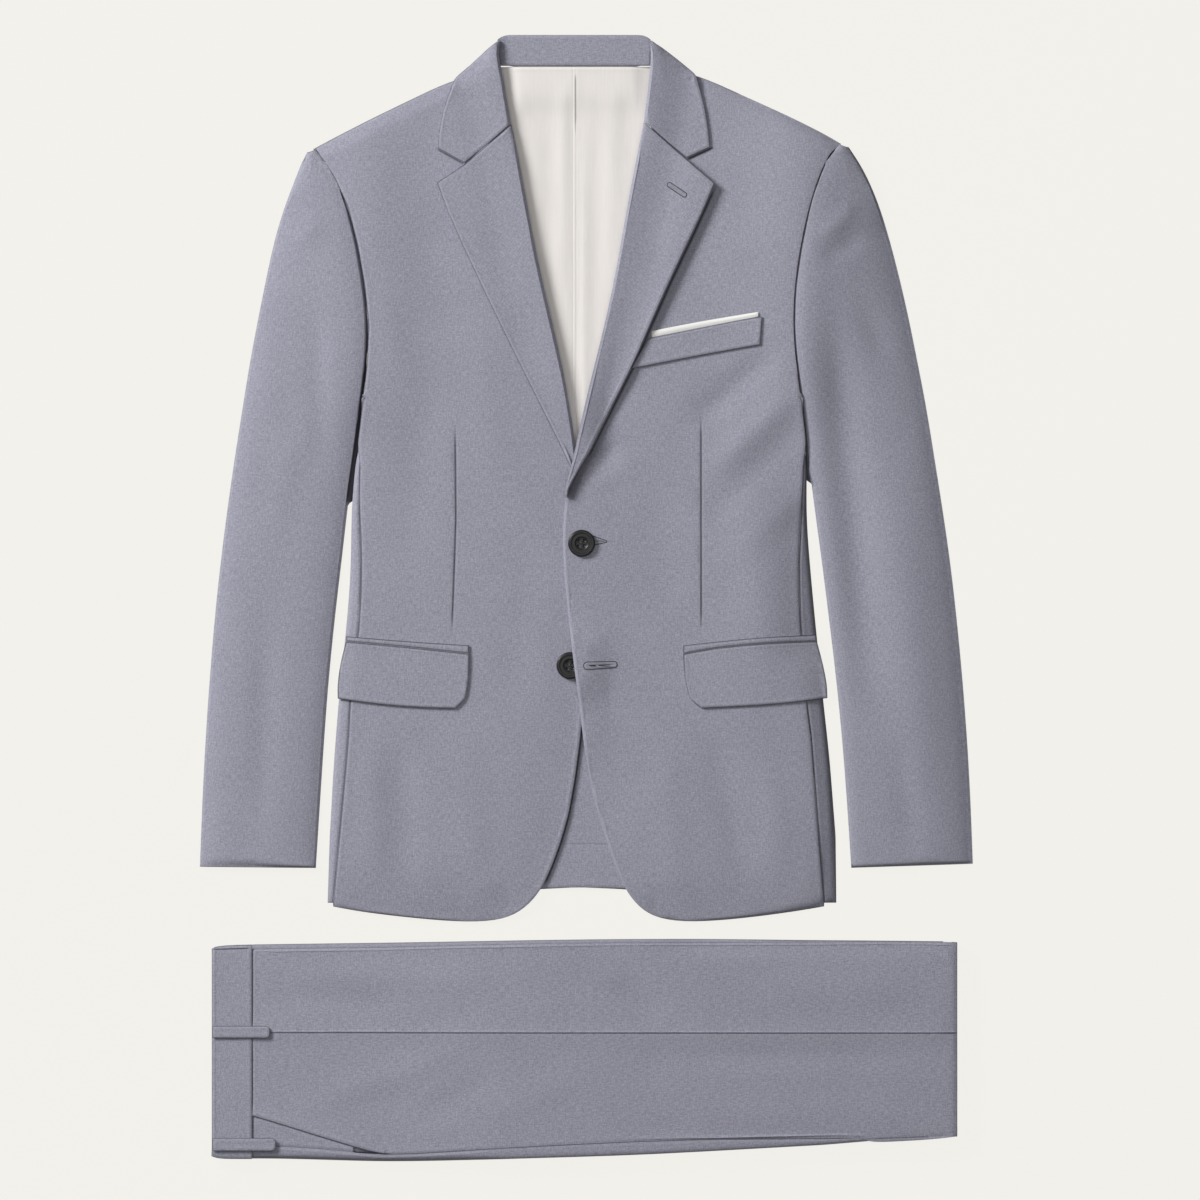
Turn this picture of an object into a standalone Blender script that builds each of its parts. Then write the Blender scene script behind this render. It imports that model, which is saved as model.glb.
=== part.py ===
"""Two-piece suit laid flat: a two-button jacket on its back, and folded trousers below it.

Tables and heights are in millimetres. X runs to the wearer's left, Y up towards the
collar and Z up from the surface that the suit lies on. A cloth piece is a grid of points
on the middle of its wall, which Solidify thickens. The jacket lies with its back panels
on the surface, the fronts over them, the left front over the right, and the lapels,
collar, flaps and welt over the fronts. The trousers are folded along the fly and doubled
under at the knee.
"""

import bisect
import functools
import math
from itertools import accumulate, pairwise

import bmesh
import bpy
from mathutils import Vector

MM = 0.001
GAP = 0.3           # between neighbouring pieces
LIE = 0.55          # under a piece that lies on another, so that their facets stay apart

# Walls
BACK_WALL = 1.5
LINING_WALL = 1.0
FRONT_WALL = 2.6    # cloth, canvas and facing
SIDE_WALL = 1.5
TOP_SLEEVE_WALL = 2.4
UNDER_SLEEVE_WALL = 1.4
LAPEL_WALL = 2.0
COLLAR_WALL = 2.0
POCKET_WALL = 1.5
TRIM_WALL = 1.0
LEG_WALL = 1.8
WAISTBAND_WALL = 2.8
LOOP_WALL = 1.2

# Height of the middle of each wall above the surface
BACK_LEVEL = BACK_WALL / 2
LINING_LEVEL = BACK_WALL + LIE + LINING_WALL / 2
EDGE_LEVEL = BACK_WALL + LIE + LINING_WALL + GAP + FRONT_WALL / 2
FRONT_LEVEL = BACK_WALL + 3.7 + FRONT_WALL / 2
SHOULDER_LEVEL = BACK_WALL + LIE + FRONT_WALL / 2
SLEEVE_LEVEL = UNDER_SLEEVE_WALL + 3.7 + TOP_SLEEVE_WALL / 2
OVERLAP = FRONT_WALL + LIE                  # how far the left front rides over the right
LAPEL_LIFT = (FRONT_WALL + LAPEL_WALL) / 2 + LIE
COLLAR_LIFT = (FRONT_WALL + COLLAR_WALL) / 2 + LIE

# Rolled edges of the lapels and the collar
ROLL_RADIUS = 1.6
UNDER_RUN = 4.4     # how far the turned edge runs back beneath
FRONT_INSET = 7.6   # from the rolled edge to the front's own edge beneath it

OUTWARD = {"right": -1, "left": 1}
SIDES = ("right", "left")


def ease(share):
    """Rise smoothly from 0 to 1."""
    share = min(max(share, 0.0), 1.0)
    return share * share * (3 - 2 * share)


def dome(distance, radius):
    """Height share of a round shoulder: 0 at the edge, 1 from one radius inwards."""
    inner = 1 - min(max(distance / radius, 0.0), 1.0)
    return math.sqrt(1 - inner * inner)


def smooth(keys, values, key):
    """Read a smooth curve through points (key, value), held level past its ends."""
    if key <= keys[0]:
        return values[0]
    if key >= keys[-1]:
        return values[-1]
    last = len(keys) - 1
    here = bisect.bisect_right(keys, key) - 1
    span = keys[here + 1] - keys[here]
    before = max(here - 1, 0)
    after = min(here + 2, last)
    leaving = (values[here + 1] - values[before]) / (keys[here + 1] - keys[before]) * span
    arriving = (values[after] - values[here]) / (keys[after] - keys[here]) * span
    t = (key - keys[here]) / span
    return (values[here] * (2 * t**3 - 3 * t**2 + 1) + leaving * (t**3 - 2 * t**2 + t)
            + values[here + 1] * (3 * t**2 - 2 * t**3) + arriving * (t**3 - t**2))


class Table:
    """Rows with named columns, read smoothly by the value of the first column."""

    def __init__(self, columns, *rows):
        names = columns.split()
        self.columns = dict(zip(names, zip(*sorted(rows))))
        self.keys = self.columns[names[0]]

    def at(self, name, key):
        return smooth(self.keys, self.columns[name], key)

    def route(self, name, first, last):
        """The column as a plan route, from y = first to y = last."""
        inside = [y for y in self.keys if first + 4 < y < last - 4]
        return Route(*((self.at(name, y), y) for y in (first, *inside, last)))


class Route:
    """A smooth plan curve through a few points, read by the share of its length."""

    def __init__(self, *points):
        self.points = points
        self.xs, self.ys = zip(*points)
        lengths = [0.0, *accumulate(math.dist(a, b) for a, b in pairwise(points))]
        self.length = lengths[-1]
        self.keys = [length / self.length for length in lengths]

    def __call__(self, share):
        return Vector((smooth(self.keys, self.xs, share), smooth(self.keys, self.ys, share)))

    def share_at_y(self, y):
        """Share of the length at a height y, on a route that rises steadily."""
        return smooth(self.ys, self.keys, y)


def cornered(first, second):
    """Two routes end to end with a sharp corner, and the share at that corner."""
    corner = first.length / (first.length + second.length)

    def joined(share):
        if share <= corner:
            return first(share / corner)
        return second((share - corner) / (1 - corner))
    return joined, corner


def patch(bottom, top, inner, outer):
    """Plan of a four-sided panel: u from its inner to its outer side, v from bottom to top."""
    def plan(u, v):
        across = bottom(u).lerp(top(u), v)
        along = inner(v).lerp(outer(v), u)
        low = bottom(0).lerp(bottom(1), u)
        high = top(0).lerp(top(1), u)
        return across + along - low.lerp(high, v)
    return plan


# ---------------------------------------------------------------- jacket, plan

# Outline of the body on each side: the side fold up to the underarm, then the armhole
UNDERARM = 172
BODY_EDGE = Table(
    "y right left",
    (389.6, -240.0, 218.6), (385.3, -234.8, 212.6), (376.7, -226.6, 205.8),
    (363.8, -218.0, 199.8), (350.9, -211.1, 194.9), (329.4, -202.5, 189.2), (307.9, -197.4, 184.5),
    (282.1, -192.6, 180.2), (256.3, -188.8, 177.2), (230.5, -186.8, 177.0),
    (204.7, -188.1, 179.3), (170.3, -191.8, 184.5), (135.9, -196.1, 188.3),
    (110.1, -199.5, 190.1), (75.7, -202.7, 188.9), (49.9, -201.7, 190.7),
    (15.5, -203.4, 193.5), (-18.9, -206.0, 196.9), (-53.3, -209.8, 200.4),
    (-87.7, -213.3, 203.8), (-122.1, -216.0, 207.7), (-156.5, -218.6, 211.1),
    (-190.9, -220.3, 213.7), (-225.3, -221.4, 214.8), (-265.0, -222.9, 215.0))

# Seam between the front and the side panel, which passes round the fold at the top
SIDE_SEAM = Table(
    "y right left",
    (172.0, -187.0, 179.8), (120.4, -194.0, 186.0), (84.3, -195.2, 185.2),
    (49.9, -193.8, 183.0), (15.5, -193.5, 182.4), (-18.9, -195.0, 183.6),
    (-53.3, -198.7, 186.2), (-87.7, -202.8, 188.8), (-122.1, -204.8, 193.1),
    (-190.9, -210.9, 198.2), (-265.0, -218.0, 204.5))

# Inner edge of each front: the roll of collar and lapel, then the front edge
FRONT_EDGE = Table(
    "y right left",
    (483, -70.1, 51.2), (478, -74.0, 54.5), (471, -75.2, 55.0), (458, -73.7, 54.8),
    (445, -71.0, 53.6), (427, -68.2, 51.4), (408, -64.7, 49.0), (382, -59.1, 43.8),
    (352, -53.4, 37.7), (313, -46.4, 31.1), (278, -39.1, 24.8), (245, -31.5, 18.0),
    (209, -22.8, 9.0), (170, -15.4, -0.6), (130, -9.0, -9.6), (103, -5.6, -14.8),
    (89, -4.2, -17.4), (69, -2.5, -19.8), (47, -1.0, -20.6), (17, 0.2, -18.8),
    (-43, 0.2, -12.5), (-77, -1.4, -8.2), (-98, -3.2, -5.3), (-130, -6.5, -1.9),
    (-169, -12.0, 5.6), (-185, -15.2, 9.8), (-210, -22.2, 17.7), (-246, -36.3, 31.4),
    (-264, -49.6, 45.3), (-275, -65.5, 61.0))
GORGE = {"right": 407, "left": 409}     # y where the collar leaf meets the lapel
CURVE_START = -185                      # y where the front edge turns into the hem

# Hem from the front corner's curve to the side
HEM = Table(
    "x y",
    (-222.9, -265.0), (-186.2, -271.8), (-153.5, -275.2), (-120.0, -278.6),
    (-91.6, -279.5), (-76.1, -278.2), (-61.5, -273.5), (-48.2, -262.8), (-37.6, -249.0),
    (-23.1, -212.4), (-15.2, -185.0), (9.8, -185.0), (17.6, -209.8), (31.1, -247.0),
    (43.4, -265.2), (52.0, -272.0), (66.0, -278.4), (82.0, -279.8), (112.0, -278.9), (147.5, -275.2),
    (174.2, -271.8), (215.0, -265.0))

SHOULDER = {
    "right": Route((-73.8, 456.2), (-84, 454.6), (-100, 449), (-122, 441.5), (-150.1, 428.3),
                   (-185.3, 411.1), (-219.7, 393.4), (-234.8, 385.3)),
    "left": Route((54.6, 456.2), (64, 455.2), (80, 452.4), (100, 446.6), (140.6, 428.5),
                  (178.4, 411.1), (205.2, 397.6), (218.6, 389.6)),
}

SLEEVE_OUTER = Table(
    "y right left",
    (389.6, -235.2, 219.2), (385.3, -236.0, 225.8), (382.3, -239.3, 228.7),
    (379, -242.0, 231.1), (371.4, -245.9, 235.8), (359.5, -250.4, 242.1),
    (342, -257.3, 249.7), (321, -264.9, 257.1),
    (290, -272.2, 265.3), (256, -279.1, 273.9), (205, -289.0, 284.2),
    (170, -294.6, 291.1), (101, -305.3, 302.3), (33, -314.3, 312.6),
    (-36, -321.6, 320.4), (-105, -326.4, 326.4), (-174, -330.7, 330.7),
    (-232, -332.4, 332.4))
SLEEVE_INNER = Table(
    "y right left",
    (172, -193.0, 185.6), (136, -197.5, 189.8), (110, -201.0, 191.8),
    (90, -204.0, 194.0), (67, -206.6, 197.6), (33, -210.3, 202.1),
    (-2, -214.6, 206.4), (-36, -218.9, 210.7), (-105, -224.6, 218.7),
    (-174, -228.9, 224.0), (-232, -232.6, 227.5))
SLEEVE_TOP = {"right": 379.8, "left": 385.2}    # y of the top row's outer end
CUFF_RISE = {"right": 1.0, "left": 3.5}         # of the cuff's outer corner over its inner one

LAPEL_TOP = {       # the gorge seam, the notch and the lapel's point
    "right": ((-64.6, 406.6), (-104.2, 372.5), (-128.3, 356.5)),
    "left": ((49.1, 409.0), (85.1, 377.0), (109.6, 355.8)),
}
LAPEL_OUTER = {
    "right": Route((-13.2, 111.4), (-18.5, 122.4), (-27.3, 140.7), (-42.1, 170.3),
                   (-67.7, 221.9), (-102.8, 295.0), (-125.1, 345.7), (-128.3, 356.5)),
    "left": Route((-8.0, 104.5), (-2.5, 115.0), (12.2, 145.6), (24.5, 170.3),
                  (39.0, 198.9), (53.3, 231.8), (71.8, 273.5), (91.6, 314.8),
                  (106.2, 346.6), (109.6, 355.8)),
}
LAPEL_FOOT = {"right": 109.0, "left": 103.0}     # y where the lapel's roll begins
COLLAR_END = {      # the gorge seam, the notch and the collar's point
    "right": ((-64.6, 407.4), (-104.2, 373.2), (-127.5, 386.3)),
    "left": ((49.1, 409.8), (85.1, 377.9), (105.9, 387.3)),
}
COLLAR_OUTER = {
    "right": Route((-127.5, 386.3), (-126.6, 401.3), (-122.6, 420.5), (-113.1, 446.3)),
    "left": Route((105.9, 387.3), (103.5, 409.4), (100.1, 426.9), (93.9, 449.3)),
}
COLLAR_SHOULDER = {  # where the collar passes over the shoulder
    "right": Route((-73.9, 479.0), (-79.5, 476.4), (-94.2, 462.7), (-113.1, 446.3)),
    "left": Route((54.0, 479.0), (61.5, 474.5), (77.8, 462.7), (93.9, 449.3)),
}
COLLAR_CORNER = 479         # y where the leaf's roll turns behind the neck

SEAM_LEVELS = (-262, -205, -150, -119, -88, -55, -15, 30, 75, 115, 142, 171)
BACK_CENTRE = -7.0          # x of the centre back seam
COLLAR_MIDDLE = -10         # x of the middle of the neck
NECK_SEAM = 457.0           # y where the collar's stand meets the back and its lining
COLLAR_TOP = 484.2          # y of the collar's roll behind the neck
BACK_HEM = Table(
    "x y", (-223.0, -262.5), (-120.0, -255.0), (-38.0, -249.4), (34.0, -249.4),
    (120.0, -255.0), (215.0, -262.5))
SIDE_BACK_SEAM = Table(     # on the underside
    "y right left",
    (172, -184.0, 176.5), (140, -168.0, 160.0), (90, -152.0, 142.0), (20, -146.0, 136.0),
    (-80, -150.0, 140.0), (-180, -156.0, 148.0), (-265, -160.0, 152.0))


# ---------------------------------------------------------------- jacket, heights

def hem_height_share(x, y):
    """0 at the hem, 1 well above it."""
    return ease((y - HEM.at("y", x)) / 40)


def hem_level(x):
    """Height of the front at its hem: on the back, or on the surface past the back's hem."""
    past_back = BACK_HEM.at("y", x) - HEM.at("y", x)
    on_facing = 1 - ease((abs(x + 2) - 52) / 14)
    on_back = BACK_WALL + LIE + FRONT_WALL / 2 + (LINING_WALL + GAP) * on_facing
    return on_back + (FRONT_WALL / 2 + 0.2 - on_back) * ease((past_back - 14) / 12)


def shoulder_y(side, x):
    route = SHOULDER[side]
    keys = [point_x * OUTWARD[side] for point_x in route.xs]
    return smooth(keys, route.ys, x * OUTWARD[side])


def shoulder_share(side, x, y):
    """0 along the shoulder's edge, 1 from a few millimetres inside it."""
    return dome((shoulder_y(side, x) - y) * 0.9, 7.0)


def own_front_level(side, x, y):
    """Height of a front that lies on the back alone."""
    inside = (x - FRONT_EDGE.at(side, y)) * OUTWARD[side]
    level = EDGE_LEVEL + (FRONT_LEVEL - EDGE_LEVEL) * ease(inside / 50)
    if y > UNDERARM:
        from_armhole = (BODY_EDGE.at(side, y) - x) * OUTWARD[side]
        level -= 0.8 * (1 - ease(from_armhole / 9))
    beside_neck = 1 - ease((abs(x - COLLAR_MIDDLE) - 82) / 20)
    low_end = SHOULDER_LEVEL + (EDGE_LEVEL - SHOULDER_LEVEL) * beside_neck
    level = low_end + (level - low_end) * shoulder_share(side, x, y)
    low = hem_level(x)
    return low + (level - low) * hem_height_share(x, y)


LOWER_BUTTON = (-14.2, -58.0)
TOP_BUTTON = (-4.2, 47.0)
BUTTON_RADIUS = 11.6
BUTTON_HEIGHT = 2.8


def bump(x, y, centre, core, skirt):
    """1 within core of the centre, falling to 0 over the skirt."""
    return 1 - ease((math.dist((x, y), centre) - core) / skirt)


@functools.cache
def button_base(side, centre):
    """Height on which a button rests: the highest point of the front beneath it."""
    level = own_front_level if side == "right" else front_level
    highest = max(level(side, centre[0] + dx, centre[1] + dy)
                  for dx in (-9, 0, 9) for dy in (-9, 0, 9))
    return highest + FRONT_WALL / 2 + GAP


def front_level(side, x, y):
    """Height of the middle of a front's wall."""
    own = own_front_level(side, x, y)
    if side == "right":
        return own
    past_edge = x - FRONT_EDGE.at("right", y)
    if y < -99:
        past_edge = max(past_edge, (-99 - y) * 0.6)
    under = own_front_level("right", min(x, FRONT_EDGE.at("right", y)), y)
    lapel = ease((y - 90) / 16) * (1 - ease((y - 142) / 38))
    lifted = under + OVERLAP + (LAPEL_WALL + LIE) * lapel
    over_button = button_base("right", LOWER_BUTTON) + BUTTON_HEIGHT + LIE + FRONT_WALL / 2
    lifted += (over_button - lifted) * bump(x, y, LOWER_BUTTON, 17, 24)
    resting = 1 - ease((past_edge - 5) / 34)
    return own + (max(lifted, own) - own) * resting


# ---------------------------------------------------------------- building

def collection(name):
    made = bpy.data.collections.new(name)
    bpy.context.scene.collection.children.link(made)
    return made


def finish(name, colour, roughness):
    """A plain Principled material."""
    material = bpy.data.materials.new(name)
    material.use_nodes = True
    shader = material.node_tree.nodes["Principled BSDF"]
    shader.inputs["Base Color"].default_value = (*colour, 1)
    shader.inputs["Roughness"].default_value = roughness
    shader.inputs["Metallic"].default_value = 0.0
    return material


def add_mesh(name, bm, material, into):
    mesh = bpy.data.meshes.new(name)
    bm.to_mesh(mesh)
    bm.free()
    mesh.materials.append(material)
    mesh.shade_smooth()
    made = bpy.data.objects.new(name, mesh)
    into.objects.link(made)
    return made


def add_sheet(name, place, columns, rows, wall, material, into):
    """A cloth wall: a grid of columns by rows, placed by place(column, row) in millimetres."""
    bm = bmesh.new()
    last_column = len(columns) - 1
    last_row = len(rows) - 1
    bmesh.ops.create_grid(bm, x_segments=last_column, y_segments=last_row, size=0.5)
    for vert in bm.verts:
        column = columns[round((vert.co.x + 0.5) * last_column)]
        row = rows[round((vert.co.y + 0.5) * last_row)]
        vert.co = Vector(place(column, row)) * MM
    made = add_mesh(name, bm, material, into)
    thicken = made.modifiers.new("Wall", "SOLIDIFY")
    thicken.thickness = wall * MM
    thicken.offset = 0.0
    return made


def spread(first, last, count):
    """count + 1 even steps from first to last."""
    return [first + (last - first) * step / count for step in range(count + 1)]


# ---------------------------------------------------------------- jacket, pieces

def front_inset(side, x, y):
    """How far the front's own edge lies behind its rolled edge; none below the roll."""
    lapel = LAPEL_OUTER[side]
    lapel_width = (smooth(lapel.ys, lapel.xs, y) - x) * OUTWARD[side]
    return min(FRONT_INSET, 0.75 * lapel_width) * ease((y - LAPEL_FOOT[side] + 9) / 8)


def make_front(side, cloth, into):
    """A front: from the roll and front edge to the side seam and armhole."""
    sign = OUTWARD[side]
    inner = FRONT_EDGE.route(side, CURVE_START, SHOULDER[side].points[0][1])
    seam = SIDE_SEAM.route(side, -265, UNDERARM)
    armhole = BODY_EDGE.route(side, UNDERARM, SHOULDER[side].ys[-1])
    outer, corner = cornered(seam, armhole)
    front_corner = FRONT_EDGE.at(side, CURVE_START)
    side_corner = SIDE_SEAM.at(side, -265)
    hem_xs = [x for x in HEM.keys if front_corner * sign < x * sign < side_corner * sign]
    hem_xs = sorted((front_corner, *hem_xs, side_corner), key=lambda x: x * sign)
    hem = Route(*((x, HEM.at("y", x)) for x in hem_xs))
    plan = patch(hem, SHOULDER[side], inner, outer)

    def place(across, v):
        width = (plan(1, v) - plan(0, v)).length
        near = front_inset(side, *plan(0, v)) / width
        far = 1 - GAP / 2 / width
        x, y = plan(near + (far - near) * across, v)
        return x, y, front_level(side, x, y)

    levels = (-185, -155, -125, -104, -90, -78, -68, -58, -48, -38, -26, -8, 20, 50, 76, 90, 98,
              106, 118, 130, 144, 158, 172, 186, 214, 268, 300, 334, 368, 400, 426, 442)
    rows = sorted([inner.share_at_y(y) for y in levels] + [corner, corner + 0.003, 0.985, 1.0])
    columns = (0, 0.045, 0.1, 0.18, 0.27, 0.35, 0.43, 0.55, 0.72, 0.9, 1)
    add_sheet(f"front_{side}", place, columns, rows, FRONT_WALL, cloth, into)


def make_side_panel(side, cloth, into):
    """The panel round the side: from the front's seam, over the fold, to the back's seam."""
    sign = OUTWARD[side]
    half = SIDE_WALL / 2

    def place(station, y):
        part, share = station
        seam = SIDE_SEAM.at(side, y) + sign * GAP
        edge = BODY_EDGE.at(side, y) - sign * half
        top = front_level(side, SIDE_SEAM.at(side, y), y)
        middle = (top + BACK_LEVEL) / 2
        radius = min(3.0, 0.75 * abs(edge - seam))
        if part == "top":
            x = seam + (edge - sign * radius - seam) * share
            return x, y, top
        if part == "fold":
            angle = math.radians(90 - 180 * share)
            x = edge - sign * radius * (1 - math.cos(angle))
            return x, y, middle + (top - middle) * math.sin(angle)
        start = edge - sign * radius
        end = SIDE_BACK_SEAM.at(side, y) + sign * GAP / 2
        return start + (end - start) * share, y, BACK_LEVEL

    stations = [("top", 0), ("top", 0.5), ("top", 1), ("fold", 0.25), ("fold", 0.5),
                ("fold", 0.75), ("under", 0), ("under", 0.3), ("under", 1)]
    add_sheet(f"side_panel_{side}", place, stations, SEAM_LEVELS, SIDE_WALL, cloth, into)


def back_height(x, y, level, reach=46):
    """The back lies flat, but rises over the collar's fall within reach of the neck's middle."""
    over_collar = ease((y - 412) / 24) * (1 - ease((abs(x - COLLAR_MIDDLE) - reach) / 12))
    return level + (COLLAR_WALL + 0.5) * over_collar


def make_back(side, cloth, into):
    """A back panel, from the centre seam to the armhole and the side-back seam."""
    sign = OUTWARD[side]
    centre = BACK_CENTRE + sign * GAP / 2
    neck = SHOULDER[side].points[0]
    inner = Route((centre, BACK_HEM.at("y", centre)), (centre, 0), (centre, NECK_SEAM - 0.6))
    seam = SIDE_BACK_SEAM.route(side, -262, UNDERARM)
    armhole = BODY_EDGE.route(side, UNDERARM, SHOULDER[side].ys[-1])
    outer, corner = cornered(seam, armhole)
    edge = SIDE_BACK_SEAM.at(side, -262)
    hem = Route(*((x, BACK_HEM.at("y", x)) for x in spread(centre, edge, 4)))
    neckline = Route((centre, NECK_SEAM - 0.6), (neck[0] * 0.6, NECK_SEAM - 0.6), neck)
    top, _ = cornered(neckline, SHOULDER[side])
    plan = patch(hem, top, inner, outer)

    def place(u, v):
        width = (plan(1, v) - plan(0, v)).length
        x, y = plan(u * (1 - GAP / 2 / width), v)
        return x, y, back_height(x, y, BACK_LEVEL)

    rows = [corner * seam.share_at_y(y) for y in SEAM_LEVELS]
    rows += [corner + (1 - corner) * share for share in
             (0.005, 0.14, 0.28, 0.42, 0.56, 0.7, 0.83, 0.92, 1)]
    columns = (0, 0.14, 0.2, 0.26, 0.33, 0.6, 1)
    add_sheet(f"back_{side}", place, columns, rows, BACK_WALL, cloth, into)


LINING = Table(             # the part of the back lining that the open neck shows
    "y right left",
    (456.6, -84.0, 64.0), (410, -84.0, 66.0), (350, -72.0, 54.0), (280, -58.0, 42.0),
    (200, -42.0, 26.0), (120, -28.0, 10.0))
PLEAT_X = -9.6
PLEAT_WIDTH = 1.4
PLEAT_HEIGHT = 0.7


def make_lining(material, into):
    """The back lining with its centre pleat, which laps to one side."""
    def place(station, y):
        kind, share = station
        right = LINING.at("right", y)
        left = LINING.at("left", y)
        rise = 0.0
        if kind == "right":
            x = right + (PLEAT_X - PLEAT_WIDTH - right) * share
        elif kind == "pleat":
            x = PLEAT_X + PLEAT_WIDTH * (share - 1)
            rise = PLEAT_HEIGHT * ease((y - 128) / 40)
        else:
            x = PLEAT_X + 0.8 + (left - PLEAT_X - 0.8) * share
        return x, y, back_height(x, y, LINING_LEVEL, reach=50) + rise

    stations = [("right", share) for share in (0, 0.16, 0.25, 0.33, 0.42, 0.9, 1)]
    stations += [("pleat", 0.4), ("pleat", 1)]
    stations += [("left", share) for share in (0, 0.1, 0.58, 0.67, 0.75, 0.84, 1)]
    levels = (120, 200, 300, 390, 412, 420, 428, 436, NECK_SEAM - 0.6)
    add_sheet("back_lining", place, stations, levels, LINING_WALL, material, into)


def make_hem_facing(cloth, into):
    """The inside of the back, where the fronts part below the buttons."""
    def place(across, up):
        right = -52 + 30 * up
        left = 48 - 34 * up
        x = right + (left - right) * across
        low = BACK_HEM.at("y", x)
        return x, low + (-92 - low) * up, LINING_LEVEL

    add_sheet("back_hem_facing", place, spread(0, 1, 4), spread(0, 1, 4), LINING_WALL, cloth,
              into)


def rolled_stations(top_shares):
    """Stations across a rolled piece: beneath, round the roll, and out over the top."""
    under = [("under", 1.0), ("under", 0.0)]
    roll = [("roll", share) for share in (0.3, 0.62)]
    return under + roll + [("top", share) for share in top_shares]


def rolled_place(plan, side, wall, lift, settle):
    """Place the stations of a rolled piece; settle(x, y, v, width) adds to its top's height."""
    rolled = wall / 2 + ROLL_RADIUS

    def place(station, v):
        part, share = station
        width = (plan(1, v) - plan(0, v)).length
        if part == "under":
            run = max(0.5, (UNDER_RUN - ROLL_RADIUS) * ease((width - 5) / 7))
            inset = rolled + run * share
        elif part == "roll":
            inset = rolled - ROLL_RADIUS * math.sin(math.pi * share)
        else:
            inset = rolled + (width - rolled) * share
        x, y = plan(inset / width, v)
        low = front_level(side, x, y)
        high = low + lift + settle(x, y, v, inset)
        if part == "under":
            return x, y, low
        if part == "roll":
            return x, y, low + (high - low) * (1 - math.cos(math.pi * share)) / 2
        return x, y, high
    return place


def make_lapel(side, cloth, into):
    gorge, notch, point = LAPEL_TOP[side]
    inner = FRONT_EDGE.route(side, LAPEL_FOOT[side], GORGE[side] - 0.4)
    top, corner = cornered(Route(gorge, notch), Route(notch, point))
    bottom = Route(tuple(inner(0)), tuple(LAPEL_OUTER[side](0)))
    plan = patch(bottom, top, inner, LAPEL_OUTER[side])
    place = rolled_place(plan, side, LAPEL_WALL, LAPEL_LIFT, lambda x, y, v, inset: 0.0)
    shares = sorted({0, 0.1, 0.26, 0.44, corner, 0.83, 1})
    rows = (0, 0.04, 0.085, 0.13, 0.17, 0.21, 0.25, 0.3, 0.4, 0.52, 0.65, 0.78, 0.9, 1)
    add_sheet(f"lapel_{side}", place, rolled_stations(shares), rows, LAPEL_WALL, cloth, into)


def make_collar_leaf(side, cloth, into):
    """The collar leaf on one side, from its roll to its outer edge and over the shoulder."""
    gorge, notch, point = COLLAR_END[side]
    inner = FRONT_EDGE.route(side, GORGE[side] + 0.4, COLLAR_CORNER)
    bottom, corner = cornered(Route(gorge, notch), Route(notch, point))
    plan = patch(bottom, COLLAR_SHOULDER[side], inner, COLLAR_OUTER[side])

    def settle(x, y, v, inset):
        stand = 1.2 * v * (1 - ease(inset / 30))
        past_shoulder = y - shoulder_y(side, x)
        over_edge = 0.6 * (1 - ease(abs(past_shoulder) / 16))
        return stand + over_edge - 2.0 * ease((past_shoulder - 6) / 8) * ease((inset - 8) / 10)

    place = rolled_place(plan, side, COLLAR_WALL, COLLAR_LIFT, settle)
    shares = sorted({0, 0.14, 0.34, corner, 0.85, 1})
    rows = (0, 0.16, 0.34, 0.52, 0.68, 0.82, 0.92, 1)
    add_sheet(f"collar_{side}", place, rolled_stations(shares), rows, COLLAR_WALL, cloth, into)


ROLL_HALF_WIDTH = 62.5      # the neck's roll, as far as the leaves' rolled edges
FALL_HALF_WIDTH = 40
STAND_WALL = 1.4
NECK_ROLL_RADIUS = 2.9
NECK_ROLL_Y = COLLAR_TOP - COLLAR_WALL / 2 - NECK_ROLL_RADIUS


def make_collar_stand(cloth, into):
    """The inside of the collar behind the neck."""
    neck = BACK_WALL + COLLAR_WALL + LIE + LINING_WALL + 0.4
    top = COLLAR_WALL / 2 + 2 * NECK_ROLL_RADIUS
    low_y = NECK_SEAM + 0.2

    def place(across, share):
        x = COLLAR_MIDDLE + ROLL_HALF_WIDTH * across
        return x, low_y + (NECK_ROLL_Y - 0.9 - low_y) * share, neck + (top - neck) * share

    add_sheet("collar_stand", place, spread(-1, 1, 4), spread(0, 1, 3), STAND_WALL, cloth, into)


def make_collar_back(cloth, into):
    """The roll of the collar behind the neck, and its fall under the back."""
    fall_level = COLLAR_WALL / 2

    def place(x, station):
        part, share = station
        if part == "roll":
            angle = math.radians(90 - 180 * share)
            y = NECK_ROLL_Y + NECK_ROLL_RADIUS * math.cos(angle)
            return x, y, fall_level + NECK_ROLL_RADIUS * (1 + math.sin(angle))
        past_fall = abs(x - COLLAR_MIDDLE) - FALL_HALF_WIDTH
        foot = 441 + 20 * ease(past_fall / 5)
        return x, NECK_ROLL_Y - (NECK_ROLL_Y - foot) * share, fall_level

    stations = [("roll", share) for share in (0, 0.2, 0.4, 0.6, 0.8)]
    stations += [("fall", share) for share in (0, 0.5, 1)]
    half_xs = (20, FALL_HALF_WIDTH, FALL_HALF_WIDTH + 5, ROLL_HALF_WIDTH)
    xs = [COLLAR_MIDDLE - half for half in reversed(half_xs)] + [COLLAR_MIDDLE]
    xs += [COLLAR_MIDDLE + half for half in half_xs]
    add_sheet("collar_back", place, xs, stations, COLLAR_WALL, cloth, into)


ARMHOLE_GAP = 0.6       # wider than a straight seam's, because the armhole curves
OUTER_WRAP = 15         # how far the top sleeve turns under at its outer edge
INNER_WRAP = 10
SLEEVE_ROUND = 24       # width over which the top sleeve's edges round down
ARMHOLE_ROUND = 12
SLEEVE_LEVELS = (-232, -150, -75, -10, 40, 80, 115, 145, 172, 205, 240, 275, 308, 335, 356, 371)


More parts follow.
